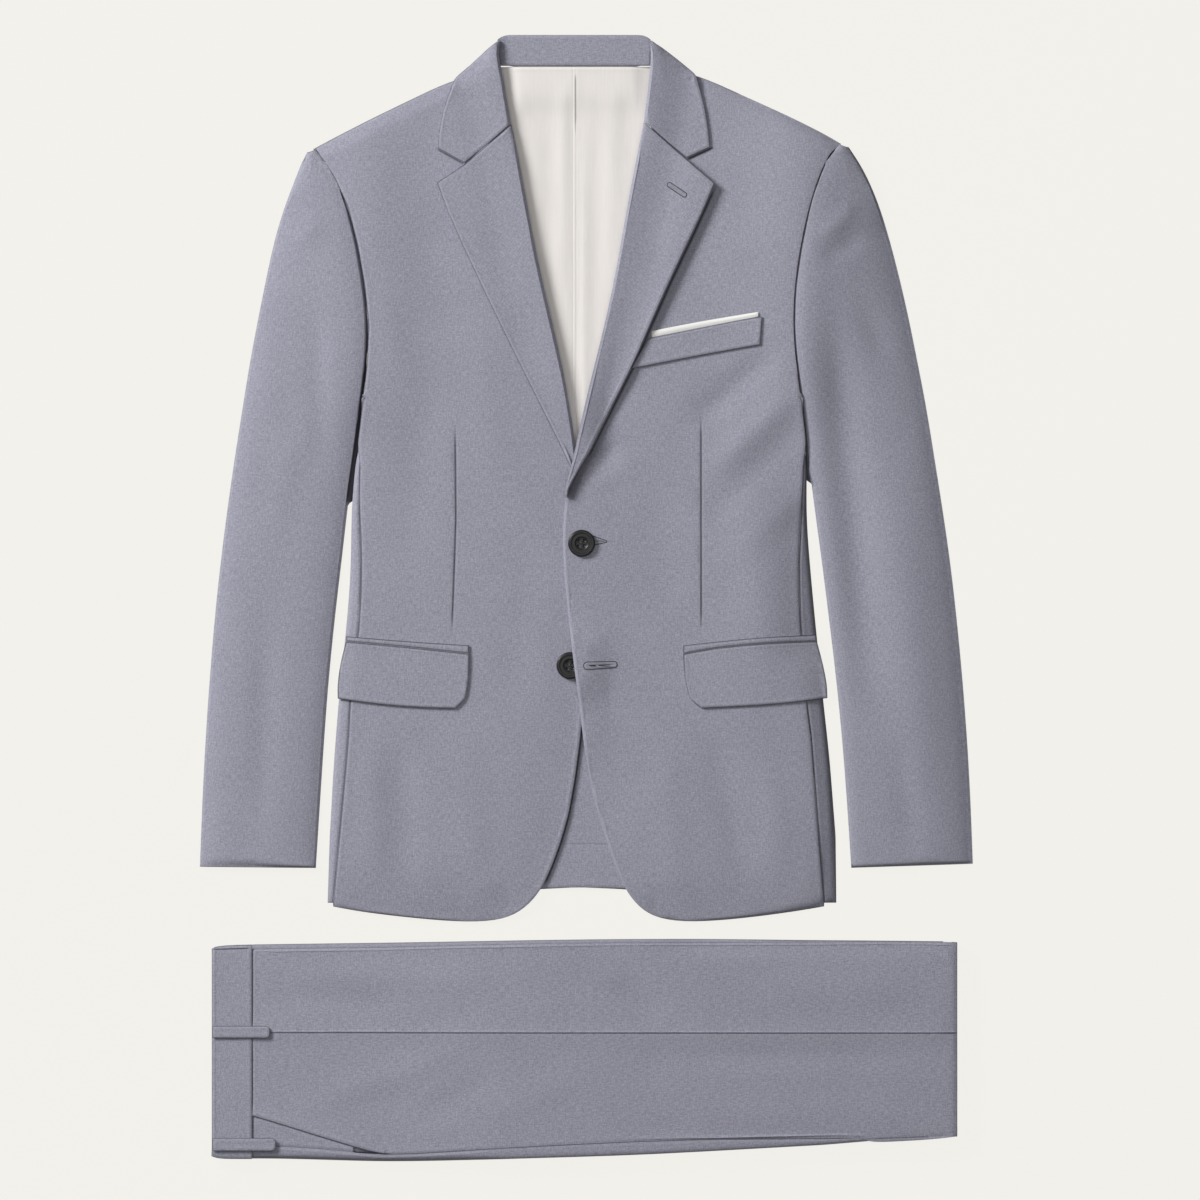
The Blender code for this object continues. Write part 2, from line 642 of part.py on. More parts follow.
def sleeve_ends(side, y):
    """The outer and inner ends in plan of the sleeve's row at a height y."""
    inner_y = y + 3.3 * ease((y - 340) / (SLEEVE_TOP[side] - 340))
    y += CUFF_RISE[side] * (1 - ease((y + 232) / 60))
    if inner_y > UNDERARM:
        inner_x = BODY_EDGE.at(side, inner_y) + OUTWARD[side] * ARMHOLE_GAP
    else:
        inner_x = SLEEVE_INNER.at(side, inner_y)
    return Vector((SLEEVE_OUTER.at(side, y), y)), Vector((inner_x, inner_y))


def make_sleeve(side, cloth, into):
    """The top sleeve, which wraps round both edges, and the under sleeve between its edges."""
    half = TOP_SLEEVE_WALL / 2
    middle = (SLEEVE_LEVEL + half) / 2

    def top_height(x, y, from_outer, from_inner, width):
        rounding = min(SLEEVE_ROUND, width / 2)
        level = middle + (SLEEVE_LEVEL - middle) * dome(from_outer, rounding)
        in_armhole = ease((y - UNDERARM + 12) / 24)
        at_seam = front_level(side, BODY_EDGE.at(side, y), max(y, UNDERARM)) - 0.2
        inner_low = middle + (at_seam - middle) * in_armhole
        rounding += (min(ARMHOLE_ROUND, width / 2) - rounding) * in_armhole
        return min(level, inner_low + (SLEEVE_LEVEL - inner_low) * dome(from_inner, rounding))

    def place_top(station, level):
        edge, kind, value = station
        outer, inner = sleeve_ends(side, level)
        width = (inner - outer).length
        scale = min(1.0, (width - 2 * half) / 40)
        if kind == "share":
            inset = half + 14 * scale
            inset += (width - 2 * inset) * value
        else:
            inset = half + value * scale
        x, y = outer.lerp(inner, inset / width if edge == "outer" else 1 - inset / width)
        if kind == "under":
            return x, y, half
        if kind == "edge":
            return x, y, middle
        from_outer = inset if edge == "outer" else width - inset
        return x, y, top_height(x, y, from_outer - half, width - from_outer - half, width)

    stations = [("outer", "under", OUTER_WRAP), ("outer", "under", 3.0), ("outer", "edge", 0),
                ("outer", "near", 1.6), ("outer", "near", 6), ("outer", "near", 14),
                ("outer", "share", 0.33), ("outer", "share", 0.67), ("inner", "near", 14),
                ("inner", "near", 6), ("inner", "near", 1.6), ("inner", "edge", 0),
                ("inner", "under", 3.0), ("inner", "under", INNER_WRAP)]
    levels = (*SLEEVE_LEVELS, SLEEVE_TOP[side])
    add_sheet(f"top_sleeve_{side}", place_top, stations, levels, TOP_SLEEVE_WALL, cloth, into)

    def place_under(share, level):
        outer, inner = sleeve_ends(side, level)
        width = (inner - outer).length
        scale = min(1.0, (width - 2 * half) / 40)
        first = half + OUTER_WRAP * scale + 0.5
        last = width - half - INNER_WRAP * scale - 0.5
        x, y = outer.lerp(inner, (first + (last - first) * share) / width)
        return x, y, UNDER_SLEEVE_WALL / 2

    add_sheet(f"under_sleeve_{side}", place_under, spread(0, 1, 3), SLEEVE_LEVELS[:-1],
              UNDER_SLEEVE_WALL, cloth, into)


# Hip pockets: x from the front's side of the pocket outwards, with the y of each line
JET = {
    "right": Table("x top bottom", (-206.3, -33.1, -37.2), (-154.0, -37.4, -42.0),
                   (-101.0, -40.8, -47.6)),
    "left": Table("x top bottom", (83.2, -41.0, -47.8), (111.4, -37.8, -42.8),
                  (153.7, -33.9, -38.8), (197.4, -31.9, -37.0)),
}
FLAP_TOP = {"right": (-100.6, -206.6), "left": (83.0, 198.0)}       # x of its ends
FLAP_SIDES = {      # down from just under the top: the side near the front, then the far one
    "right": (((-100.9, -56.0), (-102.6, -84.0)), ((-210.9, -53.0), (-213.7, -72.0))),
    "left": (((83.6, -56.0), (86.6, -84.0)), ((202.4, -53.0), (206.4, -72.0))),
}
FLAP_FOOT = {
    "right": ((-112.5, -94.9), (-149.9, -93.7), (-186.0, -90.3), (-213.6, -86.4)),
    "left": ((98.6, -94.7), (135.6, -92.9), (171.8, -90.3), (207.0, -86.0)),
}


def on_front(side, wall):
    """Height of the middle of a piece that lies on a front, also past its side edge."""
    def height(x, y):
        edge = SIDE_SEAM.at(side, y)
        inside = min(x * OUTWARD[side], edge * OUTWARD[side]) * OUTWARD[side]
        return front_level(side, inside, y) + FRONT_WALL / 2 + LIE + wall / 2
    return height


def make_hip_pocket(side, cloth, into):
    """The jet above the pocket's mouth, and the flap that hangs from it."""
    jet = JET[side]
    height = on_front(side, POCKET_WALL)
    first, last = sorted((jet.keys[0], jet.keys[-1]), key=abs)

    def place_jet(x, share):
        low = jet.at("bottom", x)
        y = low + 0.15 + (jet.at("top", x) - low) * share
        return x, y, height(x, y) - 0.1

    add_sheet(f"pocket_jet_{side}", place_jet, spread(first, last, 8), (0, 0.5, 1),
              POCKET_WALL, cloth, into)

    top = Route(*((x, jet.at("bottom", x) - 0.35) for x in spread(*FLAP_TOP[side], 4)))
    inner_side, outer_side = FLAP_SIDES[side]
    foot = FLAP_FOOT[side]
    inner = Route(foot[0], *reversed(inner_side), tuple(top(0)))
    outer = Route(foot[-1], *reversed(outer_side), tuple(top(1)))
    plan = patch(Route(*foot), top, inner, outer)

    def place_flap(u, v):
        x, y = plan(u, v)
        return x, y, height(x, y)

    columns = (0, 0.03, 0.1, 0.25, 0.45, 0.65, 0.82, 0.92, 0.97, 1)
    rows = (0, 0.1, 0.25, 0.6, 1)
    add_sheet(f"pocket_flap_{side}", place_flap, columns, rows, POCKET_WALL, cloth, into)


WELT = Table(               # the breast welt, and the trim that stands above its mouth
    "x bottom mouth trim",
    (27.0, 195.0, 218.2, 223.4), (54.4, 200.0, 223.2, 229.0), (99.3, 208.5, 232.1, 237.6),
    (148.0, 217.3, 241.6, 245.6))


def make_chest_pocket(cloth, trim, into):
    """The breast welt on the left front, and the trim over its mouth."""
    height = on_front("left", POCKET_WALL)
    trim_height = on_front("left", TRIM_WALL)

    def place_welt(station, share):
        low = WELT.at("bottom", station)
        x = station + 1.8 * ease((station - 120) / 28) * share
        y = low + (WELT.at("mouth", station) - low) * share
        return x, y, height(x, y)

    def place_trim(x, share):
        low = WELT.at("mouth", x) + 0.5
        y = low + (WELT.at("trim", x) - low) * share
        return x, y, trim_height(x, y) + 0.2

    stations = spread(56, 149, 7)
    add_sheet("chest_welt", place_welt, stations, spread(0, 1, 3), POCKET_WALL, cloth, into)
    add_sheet("chest_trim", place_trim, spread(56, 147.5, 7), (0, 1), TRIM_WALL, trim, into)


BUTTON_PROFILE = (          # radius, height
    (0.0, 0.0), (9.6, 0.0), (11.6, 1.2), (11.6, 2.0), (10.4, 2.8), (7.6, 2.6), (6.3, 1.8),
    (0.0, 1.7))


def make_button(name, centre, base, material, into, cutters):
    """A turned four-hole button."""
    bm = bmesh.new()
    verts = [bm.verts.new((radius * MM, 0, height * MM)) for radius, height in BUTTON_PROFILE]
    for first, second in pairwise(verts):
        bm.edges.new((first, second))
    bmesh.ops.spin(bm, geom=bm.verts[:] + bm.edges[:], cent=(0, 0, 0), axis=(0, 0, 1),
                   angle=math.tau, steps=20, use_merge=True)
    bmesh.ops.remove_doubles(bm, verts=bm.verts, dist=0.00001)
    bmesh.ops.recalc_face_normals(bm, faces=bm.faces)
    made = add_mesh(name, bm, material, into)
    made.location = (centre[0] * MM, centre[1] * MM, base * MM)
    for index in range(4):
        angle = math.radians(45 + 90 * index)
        hole = bmesh.new()
        bmesh.ops.create_cone(hole, cap_ends=True, segments=8, radius1=0.95 * MM,
                              radius2=0.95 * MM, depth=8 * MM)
        cutter = add_mesh(f"{name}_hole_{index}", hole, material, cutters)
        cutter.location = ((centre[0] + 2.6 * math.cos(angle)) * MM,
                           (centre[1] + 2.6 * math.sin(angle)) * MM, (base + 1.5) * MM)
        cutter.hide_render = True
        cutter.display_type = "WIRE"
        cut = made.modifiers.new(f"Hole {index}", "BOOLEAN")
        cut.object = cutter
        cut.operation = "DIFFERENCE"


# ---------------------------------------------------------------- trousers

WAIST_X = -321.6            # the waistband's top edge
BAND_SEAM_X = -287.2        # seam between waistband and leg
KNEE_X = 318.8              # the fold at the knee
TROUSERS = Table(           # lines along the leg: y of each, by x
    "x fly front crease side low",
    (-321.6, -300.8, -302.4, -372.5, -470.0, -479.5),
    (-315.0, -298.4, -301.8, -372.5, -470.0, -481.6),
    (-262.0, -297.4, -301.2, -372.8, -471.0, -481.8),
    (-212.0, -296.7, -300.4, -373.4, -474.6, -483.3),
    (-174.0, -296.2, -300.0, -374.3, -478.2, -484.2),
    (-122.0, -295.3, -298.6, -374.5, -475.6, -483.6),
    (-57.0, -294.0, -296.9, -374.4, -471.5, -481.4),
    (30.0, -292.8, -295.4, -374.0, -467.2, -479.0),
    (94.0, -292.6, -295.6, -373.6, -464.8, -475.8),
    (171.0, -293.8, -295.3, -373.2, -464.2, -471.5),
    (235.0, -294.1, -294.8, -373.0, -463.8, -467.8),
    (293.0, -294.6, -295.0, -373.6, -463.4, -464.8),
    (318.8, -295.2, -295.6, -374.0, -461.4, -462.2))
SLANT = Table("x y", (-288.4, -444.1), (-260.0, -452.6), (-230.0, -462.1), (-199.7, -471.2),
              (-175.5, -478.3))
POCKET_CORNER = -175.5      # x where the slanted pocket meets the side seam


def folded_height(x):
    """Top of the hidden layers: more of them where the lower legs are doubled under."""
    return 8.6 + 4.2 * ease((x + 190) / 130)


def leg_level(x):
    return folded_height(x) + GAP + LEG_WALL / 2


def leg_bottom(x):
    """The leg front's lower edge: the slanted pocket, the side seam, then the outline."""
    if x < POCKET_CORNER:
        return SLANT.at("y", x)
    side = TROUSERS.at("side", x)
    return side + (TROUSERS.at("low", x) - side) * ease((x - BACK_END_X - 1) / 8)


KNEE_ROUND = 9.0            # how far the knee fold rounds in along the leg


def knee_turn(station, top, low):
    """x and z at a station past the knee: a plain x, or an angle round the fold."""
    kind, value = station
    if kind == "flat":
        return value, top
    angle = math.radians(value)
    middle = (top + low) / 2
    centre = KNEE_X - LEG_WALL / 2 - KNEE_ROUND
    return centre + KNEE_ROUND * math.sin(angle), middle + (top - middle) * math.cos(angle)


BACK_END_X = 235            # x where the strip of the leg's back has gone under the front
LEG_STATIONS = (BAND_SEAM_X + GAP, -268, -232, -200, POCKET_CORNER, -145, -110, -75, -30, 40, 110,
                180, BACK_END_X)


def make_leg_front(cloth, into):
    """The front of the upper leg, creased, from the waistband round the fold at the knee."""
    def place(station, across):
        part, share = across
        flat_x = station[1] if station[0] == "flat" else KNEE_X - LEG_WALL / 2
        top = leg_level(flat_x)
        crease = TROUSERS.at("crease", flat_x)
        if part == "below":
            low = leg_bottom(flat_x) + 0.2
            y = low + (crease - low) * share
        else:
            high = TROUSERS.at("front", flat_x)
            y = crease + (high - crease) * share
        top += 0.9 * (1 - ease(abs(y - crease) / 11))
        top -= 0.6 * (1 - dome(TROUSERS.at("front", flat_x) - y, 4.5))
        top -= 2.0 * (1 - dome(y - leg_bottom(flat_x), 4.5)) * ease((flat_x - BACK_END_X) / 14)
        if flat_x < POCKET_CORNER:
            top += 0.9 * (1 - ease((y - leg_bottom(flat_x)) / 12))
        x, z = knee_turn(station, top, 1.4)
        return x, y, z

    knee = KNEE_X - LEG_WALL / 2 - KNEE_ROUND
    stations = [("flat", x) for x in (*LEG_STATIONS, 236.5, 244, 265, 290, knee)]
    stations += [("turn", angle) for angle in (35, 70, 105, 145)]
    across = [("below", share) for share in (0, 0.05, 0.15, 0.45, 0.82, 0.93)]
    across += [("above", share) for share in (0, 0.07, 0.18, 0.55, 0.94, 0.98, 1)]
    add_sheet("leg_front", place, stations, across, LEG_WALL, cloth, into)


def edge_turn(station, seam, low, top, radius, wall):
    """A strip that runs from a seam over the lower edge: y and z at a station."""
    kind, value = station
    edge = low + wall / 2
    radius = min(radius, 0.8 * (seam - edge))
    if kind == "flat":
        return seam + (edge + radius - seam) * value, top
    angle = math.radians(value)
    depth = (top - wall) / (1 - math.cos(math.radians(LAST_TURN)))
    y = edge + radius - radius * math.sin(angle)
    return y, top - depth + depth * math.cos(angle)


LAST_TURN = 110             # degrees through which the strip turns down at the lower edge
EDGE_TURNS = [("turn", angle) for angle in (LAST_TURN, 90, 68, 45, 22)]
EDGE_STATIONS = [*EDGE_TURNS, ("flat", 1), ("flat", 0.5), ("flat", 0)]


def make_leg_back(cloth, into):
    """The strip of the leg's back that shows at the lower edge and turns under it."""
    def place(x, station):
        seam = TROUSERS.at("side", x) - 0.2
        low = TROUSERS.at("low", x)
        y, z = edge_turn(station, seam, low, leg_level(x), 4.5, BACK_WALL)
        return x, y, z

    add_sheet("leg_back", place, LEG_STATIONS, EDGE_STATIONS, BACK_WALL, cloth, into)


def make_pocket_facing(cloth, into):
    """The piece that shows inside the slanted pocket, a little lower than its mouth."""
    def place(x, share):
        high = SLANT.at("y", x) - 0.25
        low = TROUSERS.at("side", x) + 0.25
        return x, low + (high - low) * share, leg_level(x) - 0.3

    add_sheet("pocket_facing", place, (BAND_SEAM_X + GAP, -270, -250, -230, -210, -200), (0, 0.5, 1),
              1.2, cloth, into)


BAND_TURN_Y = -470          # y past which the waistband begins to turn down


def make_waistband(cloth, into):
    """The waistband, which turns under at the lower edge as the leg does."""
    def place(x, station):
        kind, share = station
        top = folded_height(x) + GAP + WAISTBAND_WALL / 2
        low = TROUSERS.at("low", x)
        if kind == "high":
            y = TROUSERS.at("fly", x) - 0.4 - (TROUSERS.at("fly", x) - BAND_TURN_Y) * share
            drop = 0.6 * (1 - dome(TROUSERS.at("fly", x) - 0.4 - y, 4.0))
            return x, y, top - drop
        y, z = edge_turn(station, BAND_TURN_Y, low, top, 6.0, WAISTBAND_WALL)
        return x, y, z

    stations = [*EDGE_TURNS, ("flat", 1)]
    stations += [("high", share) for share in (1, 0.75, 0.5, 0.25, 0.07, 0.02, 0)]
    xs = (WAIST_X, -319.5, -315.0, -304.0, -292.0, BAND_SEAM_X)
    add_sheet("waistband", place, xs, stations, WAISTBAND_WALL, cloth, into)


BELT_LOOPS = {              # x of the free end, then the y of both edges
    "belt_loop_front": (-271.6, -377.6, -367.2),
    "belt_loop_side": (-266.5, -474.6, -463.4),
}


def make_belt_loop(name, cloth, into):
    """A belt loop sewn over the waistband, its lower end on the leg."""
    end, low, high = BELT_LOOPS[name]

    def place(x, share):
        on_band = folded_height(x) + GAP + WAISTBAND_WALL
        on_leg = folded_height(x) + GAP + LEG_WALL + 0.9
        past = ease((x - BAND_SEAM_X + 2) / 9)
        z = on_band + (on_leg - on_band) * past + LIE + LOOP_WALL / 2
        if name == "belt_loop_side":
            z -= 0.35 * past
        return x, low + (high - low) * share, z

    xs = (WAIST_X + 0.4, -312, -300, -291, -286, -281, -276, end)
    add_sheet(name, place, xs, (0, 0.5, 1), LOOP_WALL, cloth, into)


# How far each hidden layer's edge lies inside the outline, from the lowest layer up
LAYER_INSET = {"fly": (0.6, 0.2, 0.0, 4.2), "low": (6.6, 4.4, 4.8, 7.8)}
LAYERS = 4


def make_folded_layers(cloth, into):
    """The layers under the visible ones, as one solid with a rounded edge for each layer."""
    xs = (WAIST_X + 1.5, -314, -287, *LEG_STATIONS[2:], 306.5)
    bulge = ((1.2, 0.08), (0.0, 0.35), (0.0, 0.65), (1.2, 0.92))
    ring = []
    for layer in range(LAYERS):
        ring += [("fly", LAYER_INSET["fly"][layer] + inset, (layer + height) / LAYERS)
                 for inset, height in bulge]
    for layer in reversed(range(LAYERS)):
        ring += [("low", LAYER_INSET["low"][layer] + inset, (layer + height) / LAYERS)
                 for inset, height in reversed(bulge)]
    ring.append(ring[0])
    bm = bmesh.new()
    bmesh.ops.create_grid(bm, x_segments=len(xs) - 1, y_segments=len(ring) - 1, size=0.5)
    for vert in bm.verts:
        x = xs[round((vert.co.x + 0.5) * (len(xs) - 1))]
        side, inset, share = ring[round((vert.co.y + 0.5) * (len(ring) - 1))]
        inward = -1 if side == "fly" else 1
        first_height = bulge[0][1] / LAYERS
        share = (share - first_height) / (1 - 2 * first_height)
        y = TROUSERS.at(side, x) + inward * inset
        vert.co = Vector((x, y, share * folded_height(x))) * MM
    bmesh.ops.remove_doubles(bm, verts=bm.verts, dist=0.00001)
    bmesh.ops.holes_fill(bm, edges=[edge for edge in bm.edges if edge.is_boundary], sides=0)
    bmesh.ops.recalc_face_normals(bm, faces=bm.faces)
    return add_mesh("folded_layers", bm, cloth, into)


# ---------------------------------------------------------------- the suit

def make_jacket(cloth, lining, trim, horn, into, cutters):
    for side in SIDES:
        make_back(side, cloth, into)
        make_side_panel(side, cloth, into)
        make_front(side, cloth, into)
        make_lapel(side, cloth, into)
        make_collar_leaf(side, cloth, into)
        make_sleeve(side, cloth, into)
        make_hip_pocket(side, cloth, into)
    make_lining(lining, into)
    make_hem_facing(cloth, into)
    make_collar_stand(cloth, into)
    make_collar_back(cloth, into)
    make_chest_pocket(cloth, trim, into)
    top_base = button_base("left", TOP_BUTTON)
    low_base = button_base("right", LOWER_BUTTON)
    make_button("button_top", TOP_BUTTON, top_base, horn, into, cutters)
    make_button("button_lower", LOWER_BUTTON, low_base, horn, into, cutters)


def make_trousers(cloth, into):
    make_folded_layers(cloth, into)
    make_leg_front(cloth, into)
    make_leg_back(cloth, into)
    make_pocket_facing(cloth, into)
    make_waistband(cloth, into)
    for name in BELT_LOOPS:
        make_belt_loop(name, cloth, into)


def main():
    for old in list(bpy.data.objects):
        bpy.data.objects.remove(old, do_unlink=True)
    suit = collection("suit")
    cutters = collection("cutters")
    cloth = finish("suit_cloth", (0.30, 0.30, 0.35), 0.85)
    lining = finish("back_lining_cloth", (0.72, 0.69, 0.66), 0.6)
    trim = finish("chest_trim_cloth", (0.86, 0.85, 0.82), 0.7)
    horn = finish("dark_horn", (0.022, 0.022, 0.025), 0.35)
    make_jacket(cloth, lining, trim, horn, suit, cutters)
    make_trousers(cloth, suit)


main()
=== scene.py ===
"""Two-piece suit laid flat: worsted cloth, seams, darts, buttonholes, buttons and stitching.

Sizes and places are in millimetres. X runs to the wearer's left, Y up towards the collar
and Z up from the surface that the suit lies on. Each cloth piece is a shell on the form of
its solid. One map of soft folds moves every layer at a place together, so that pieces that
lie on each other stay in order, and the underside stays flat.
"""

import math
from collections import namedtuple
from functools import cache, partial
from itertools import pairwise

import bmesh
import bpy
import numpy as np
from bpy.props import FloatProperty, FloatVectorProperty, IntProperty, PointerProperty
from mathutils import Matrix, Vector, noise
from mathutils.bvhtree import BVHTree


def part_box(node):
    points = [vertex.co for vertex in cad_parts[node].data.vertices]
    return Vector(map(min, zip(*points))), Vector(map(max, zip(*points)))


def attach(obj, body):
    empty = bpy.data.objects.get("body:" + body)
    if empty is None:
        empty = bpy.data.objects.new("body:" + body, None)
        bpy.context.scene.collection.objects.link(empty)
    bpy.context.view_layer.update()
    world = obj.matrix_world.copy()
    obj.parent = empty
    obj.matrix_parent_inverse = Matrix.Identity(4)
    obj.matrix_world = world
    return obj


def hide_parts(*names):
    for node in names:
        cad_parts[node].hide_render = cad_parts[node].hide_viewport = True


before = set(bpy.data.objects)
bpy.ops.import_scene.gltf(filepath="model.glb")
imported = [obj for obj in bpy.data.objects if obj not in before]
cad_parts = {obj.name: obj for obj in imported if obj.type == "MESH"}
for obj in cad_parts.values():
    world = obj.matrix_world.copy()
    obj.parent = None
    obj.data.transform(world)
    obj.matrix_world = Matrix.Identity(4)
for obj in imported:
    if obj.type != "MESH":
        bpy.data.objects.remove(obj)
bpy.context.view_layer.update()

bl_info = {
    "name": "Two-Piece Suit",
    "version": (1, 0, 0),
    "blender": (4, 5, 0),
    "location": "3D View > Sidebar > Suit",
    "description": "Dresses a two-piece suit, laid flat, in worsted cloth with its sewing",
    "category": "Add Mesh",
}

MM = 0.001
WELD = 0.00001          # metres within which a solid's loose corners are one
CLOSE = 0.000005        # metres within which new points are one
UPWARD = 0.3            # z of the normal above which a face looks up
SIDES = ("right", "left")
OUTWARD = {"right": -1, "left": 1}


# ---- settings

def colour_setting(name, description, default):
    return FloatVectorProperty(name=name, description=description, default=default, size=3,
                               min=0, max=1, subtype="COLOR")


def share_setting(name, description, default):
    return FloatProperty(name=name, description=description, default=default, min=0, max=1,
                         subtype="FACTOR")


def size_setting(name, description, default, unit="LENGTH"):
    return FloatProperty(name=name, description=description, default=default, min=0.0001,
                         unit=unit)


class SuitCloth(bpy.types.PropertyGroup):
    """The worsted that the jacket and trousers are cut from."""

    light_fibre: colour_setting("Light Fibre", "Colour of the pale fibres in the yarn",
                                (0.385, 0.385, 0.455))
    dark_fibre: colour_setting("Dark Fibre", "Colour of the dark fibres in the yarn",
                               (0.235, 0.232, 0.290))
    yarn_pitch: size_setting("Yarn Pitch", "Distance from one yarn to the next", 0.00042)
    slub_length: size_setting("Slub Length", "Length of the streaks along a yarn", 0.0050)
    roughness: share_setting("Roughness", "How matt the cloth is", 0.78)
    sheen: share_setting("Sheen", "Soft light caught by the nap at a low angle", 0.12)


class SuitTrims(bpy.types.PropertyGroup):
    """Lining, chest trim, buttons and thread."""

    lining: colour_setting("Lining", "Colour of the back lining", (0.806, 0.768, 0.733))
    chest_trim: colour_setting("Chest Trim", "Colour of the trim over the chest pocket",
                               (0.86, 0.85, 0.82))
    horn: colour_setting("Horn", "Colour of the buttons", (0.010, 0.010, 0.011))
    thread: colour_setting("Thread", "Colour of the sewing thread", (0.30, 0.30, 0.36))
    button_radius: size_setting("Button Radius", "Radius of a front button", 0.0116)
    button_steps: IntProperty(name="Button Steps", description="Steps round a turned button",
                              default=56, min=16, max=128)


class SuitStage(bpy.types.PropertyGroup):
    """The surface, the lights and the camera."""

    floor: colour_setting("Floor", "Colour of the surface under the suit",
                          (0.896, 0.877, 0.831))
    camera_height: size_setting("Camera Height", "Height of the camera over the surface", 6.0)
    picture_side: size_setting("Picture Side", "Side of the square that the camera sees", 1.032)
    key_light: size_setting("Key Light", "Power of the soft light from the upper left", 262,
                            "POWER")
    top_light: size_setting("Top Light", "Power of the broad light straight above", 19.7,
                            "POWER")
    room_light: size_setting("Room Light", "Strength of the even light from all round", 0.113,
                             "NONE")


def settings(name):
    return getattr(bpy.context.scene, name)


# ---- shader maths

class Value:
    """A shader socket on which Python's operators add Math nodes."""

    def __init__(self, shader, socket):
        self.shader = shader
        self.socket = socket

    def maths(self, operation, *values):
        return self.shader.node("ShaderNodeMath", dict(enumerate(values)), operation=operation)

    def __add__(self, other):
        return self.maths("ADD", self, other)

    def __radd__(self, other):
        return self.maths("ADD", other, self)

    def __sub__(self, other):
        return self.maths("SUBTRACT", self, other)

    def __rsub__(self, other):
        return self.maths("SUBTRACT", other, self)

    def __mul__(self, other):
        return self.maths("MULTIPLY", self, other)

    def __rmul__(self, other):
        return self.maths("MULTIPLY", other, self)

    def sine(self):
        return self.maths("SINE", self)


class Shader:
    """One material, built node by node onto its Principled shader."""

    def __init__(self, name, **constants):
        self.material = bpy.data.materials.new(name)
        self.material.use_nodes = True
        self.nodes = self.material.node_tree.nodes
        self.links = self.material.node_tree.links
        self.surface = self.nodes["Principled BSDF"]
        for socket, value in constants.items():
            self.surface.inputs[socket.replace("_", " ")].default_value = value

    def node(self, kind, sockets=None, output=0, **options):
        """Add a node: its options are set first, then its sockets' values or links."""
        made = self.nodes.new(kind)
        for option, value in options.items():
            setattr(made, option, value)
        for socket, value in (sockets or {}).items():
            self.feed(made.inputs[socket], value)
        return Value(self, made.outputs[output])

    def feed(self, target, value):
        if isinstance(value, Value):
            self.links.new(value.socket, target)
        else:
            target.default_value = value

    def drive(self, socket, value):
        self.feed(self.surface.inputs[socket], value)

    def noise(self, place, scale, detail=2.0):
        """A noise that is stretched by its scale, in repeats a metre along each axis."""
        stretched = self.node("ShaderNodeMapping", {"Vector": place, "Scale": scale})
        return self.node("ShaderNodeTexNoise",
                         {"Vector": stretched, "Scale": 1.0, "Detail": detail},
                         noise_dimensions="3D")

    def blend(self, share, first, second):
        """A colour between two, or their mix by a factor."""
        return self.node("ShaderNodeMix", {"Factor": share, 6: first, 7: second}, output=2,
                         data_type="RGBA", clamp_factor=True)

    def finish(self, colour, roughness, height, distance, strength):
        """Feed what changes over the surface, with a bump, and give the material."""
        bump = self.node("ShaderNodeBump",
                         {"Height": height, "Distance": distance, "Strength": strength})
        for socket, value in (("Base Color", colour), ("Roughness", roughness), ("Normal", bump)):
            self.drive(socket, value)
        return self.material


def rgba(colour, share=1.0):
    """A socket's colour: a plain one at a share of its brightness."""
    return (*(channel * share for channel in colour), 1.0)


def grain_place(shader):
    """The piece's own UV map, in metres across and along its warp, and its two parts."""
    place = shader.node("ShaderNodeUVMap", uv_map="grain")
    across, along = (shader.node("ShaderNodeSeparateXYZ", {"Vector": place}, output=axis)
                     for axis in range(2))
    return place, across, along


def plain_weave(across, along, pitch):
    turn = math.tau / pitch
    return (across * turn).sine() * (along * turn).sine()


def shaded(shader, threads, deep):
    """The threads' colour, deepened by the shade that is kept on the mesh's points."""
    shade = shader.node("ShaderNodeAttribute", output=2, attribute_name="shade")
    return shader.blend(shade, threads, deep)


@cache
def worsted():
    """Melange worsted: uneven yarns both ways, fibre specks, a fine weave and a low nap."""
    cloth = settings("suit_cloth")
    shader = Shader("worsted", Roughness=cloth.roughness, Sheen_Weight=cloth.sheen,
                    Sheen_Roughness=0.45, Specular_IOR_Level=0.18)
    place, across, along = grain_place(shader)
    warp = shader.noise(place, (1 / 0.0011, 1 / cloth.slub_length, 1))
    weft = shader.noise(place, (1 / (0.8 * cloth.slub_length), 1 / 0.0011, 1))
    specks = shader.noise(place, (1 / 0.0013, 1 / 0.0014, 1))
    cloud = shader.noise(place, (1 / 0.030, 1 / 0.045, 1))
    weave = plain_weave(across, along, cloth.yarn_pitch)
    share = (0.5 + (warp - 0.5) * 1.3 + (weft - 0.5) + (specks - 0.5) * 1.5
             + (cloud - 0.5) * 0.25 + weave * 0.04)
    fibres = shader.blend(share, rgba(cloth.dark_fibre), rgba(cloth.light_fibre))
    return shader.finish(shaded(shader, fibres, rgba(cloth.dark_fibre, 0.10)),
                         cloth.roughness + (specks - 0.5) * 0.2,
                         weave * 0.35 + warp * 0.8 + weft * 0.7 + specks * 0.6, 0.00016, 0.55)


@cache
def lining_cloth():
    """Cream lining: a fine twill with a soft gloss."""
    cream = settings("suit_trims").lining
    shader = Shader("lining", Roughness=0.46, Sheen_Weight=0.08, Specular_IOR_Level=0.35)
    place, across, along = grain_place(shader)
    warp = shader.noise(place, (1 / 0.0016, 1 / 0.030, 1))
    cloud = shader.noise(place, (1 / 0.020, 1 / 0.060, 1))
    twill = ((across + along * 0.6) * (math.tau / 0.0005)).sine()
    share = 0.35 + (warp - 0.5) * 0.9 + (cloud - 0.5) * 0.8
    threads = shader.blend(share, rgba(cream), rgba(cream, 0.90))
    return shader.finish(shaded(shader, threads, rgba(cream, 0.32)),
                         0.46 + (warp - 0.5) * 0.15, twill * 0.3 + warp * 0.6, 0.00008, 0.4)


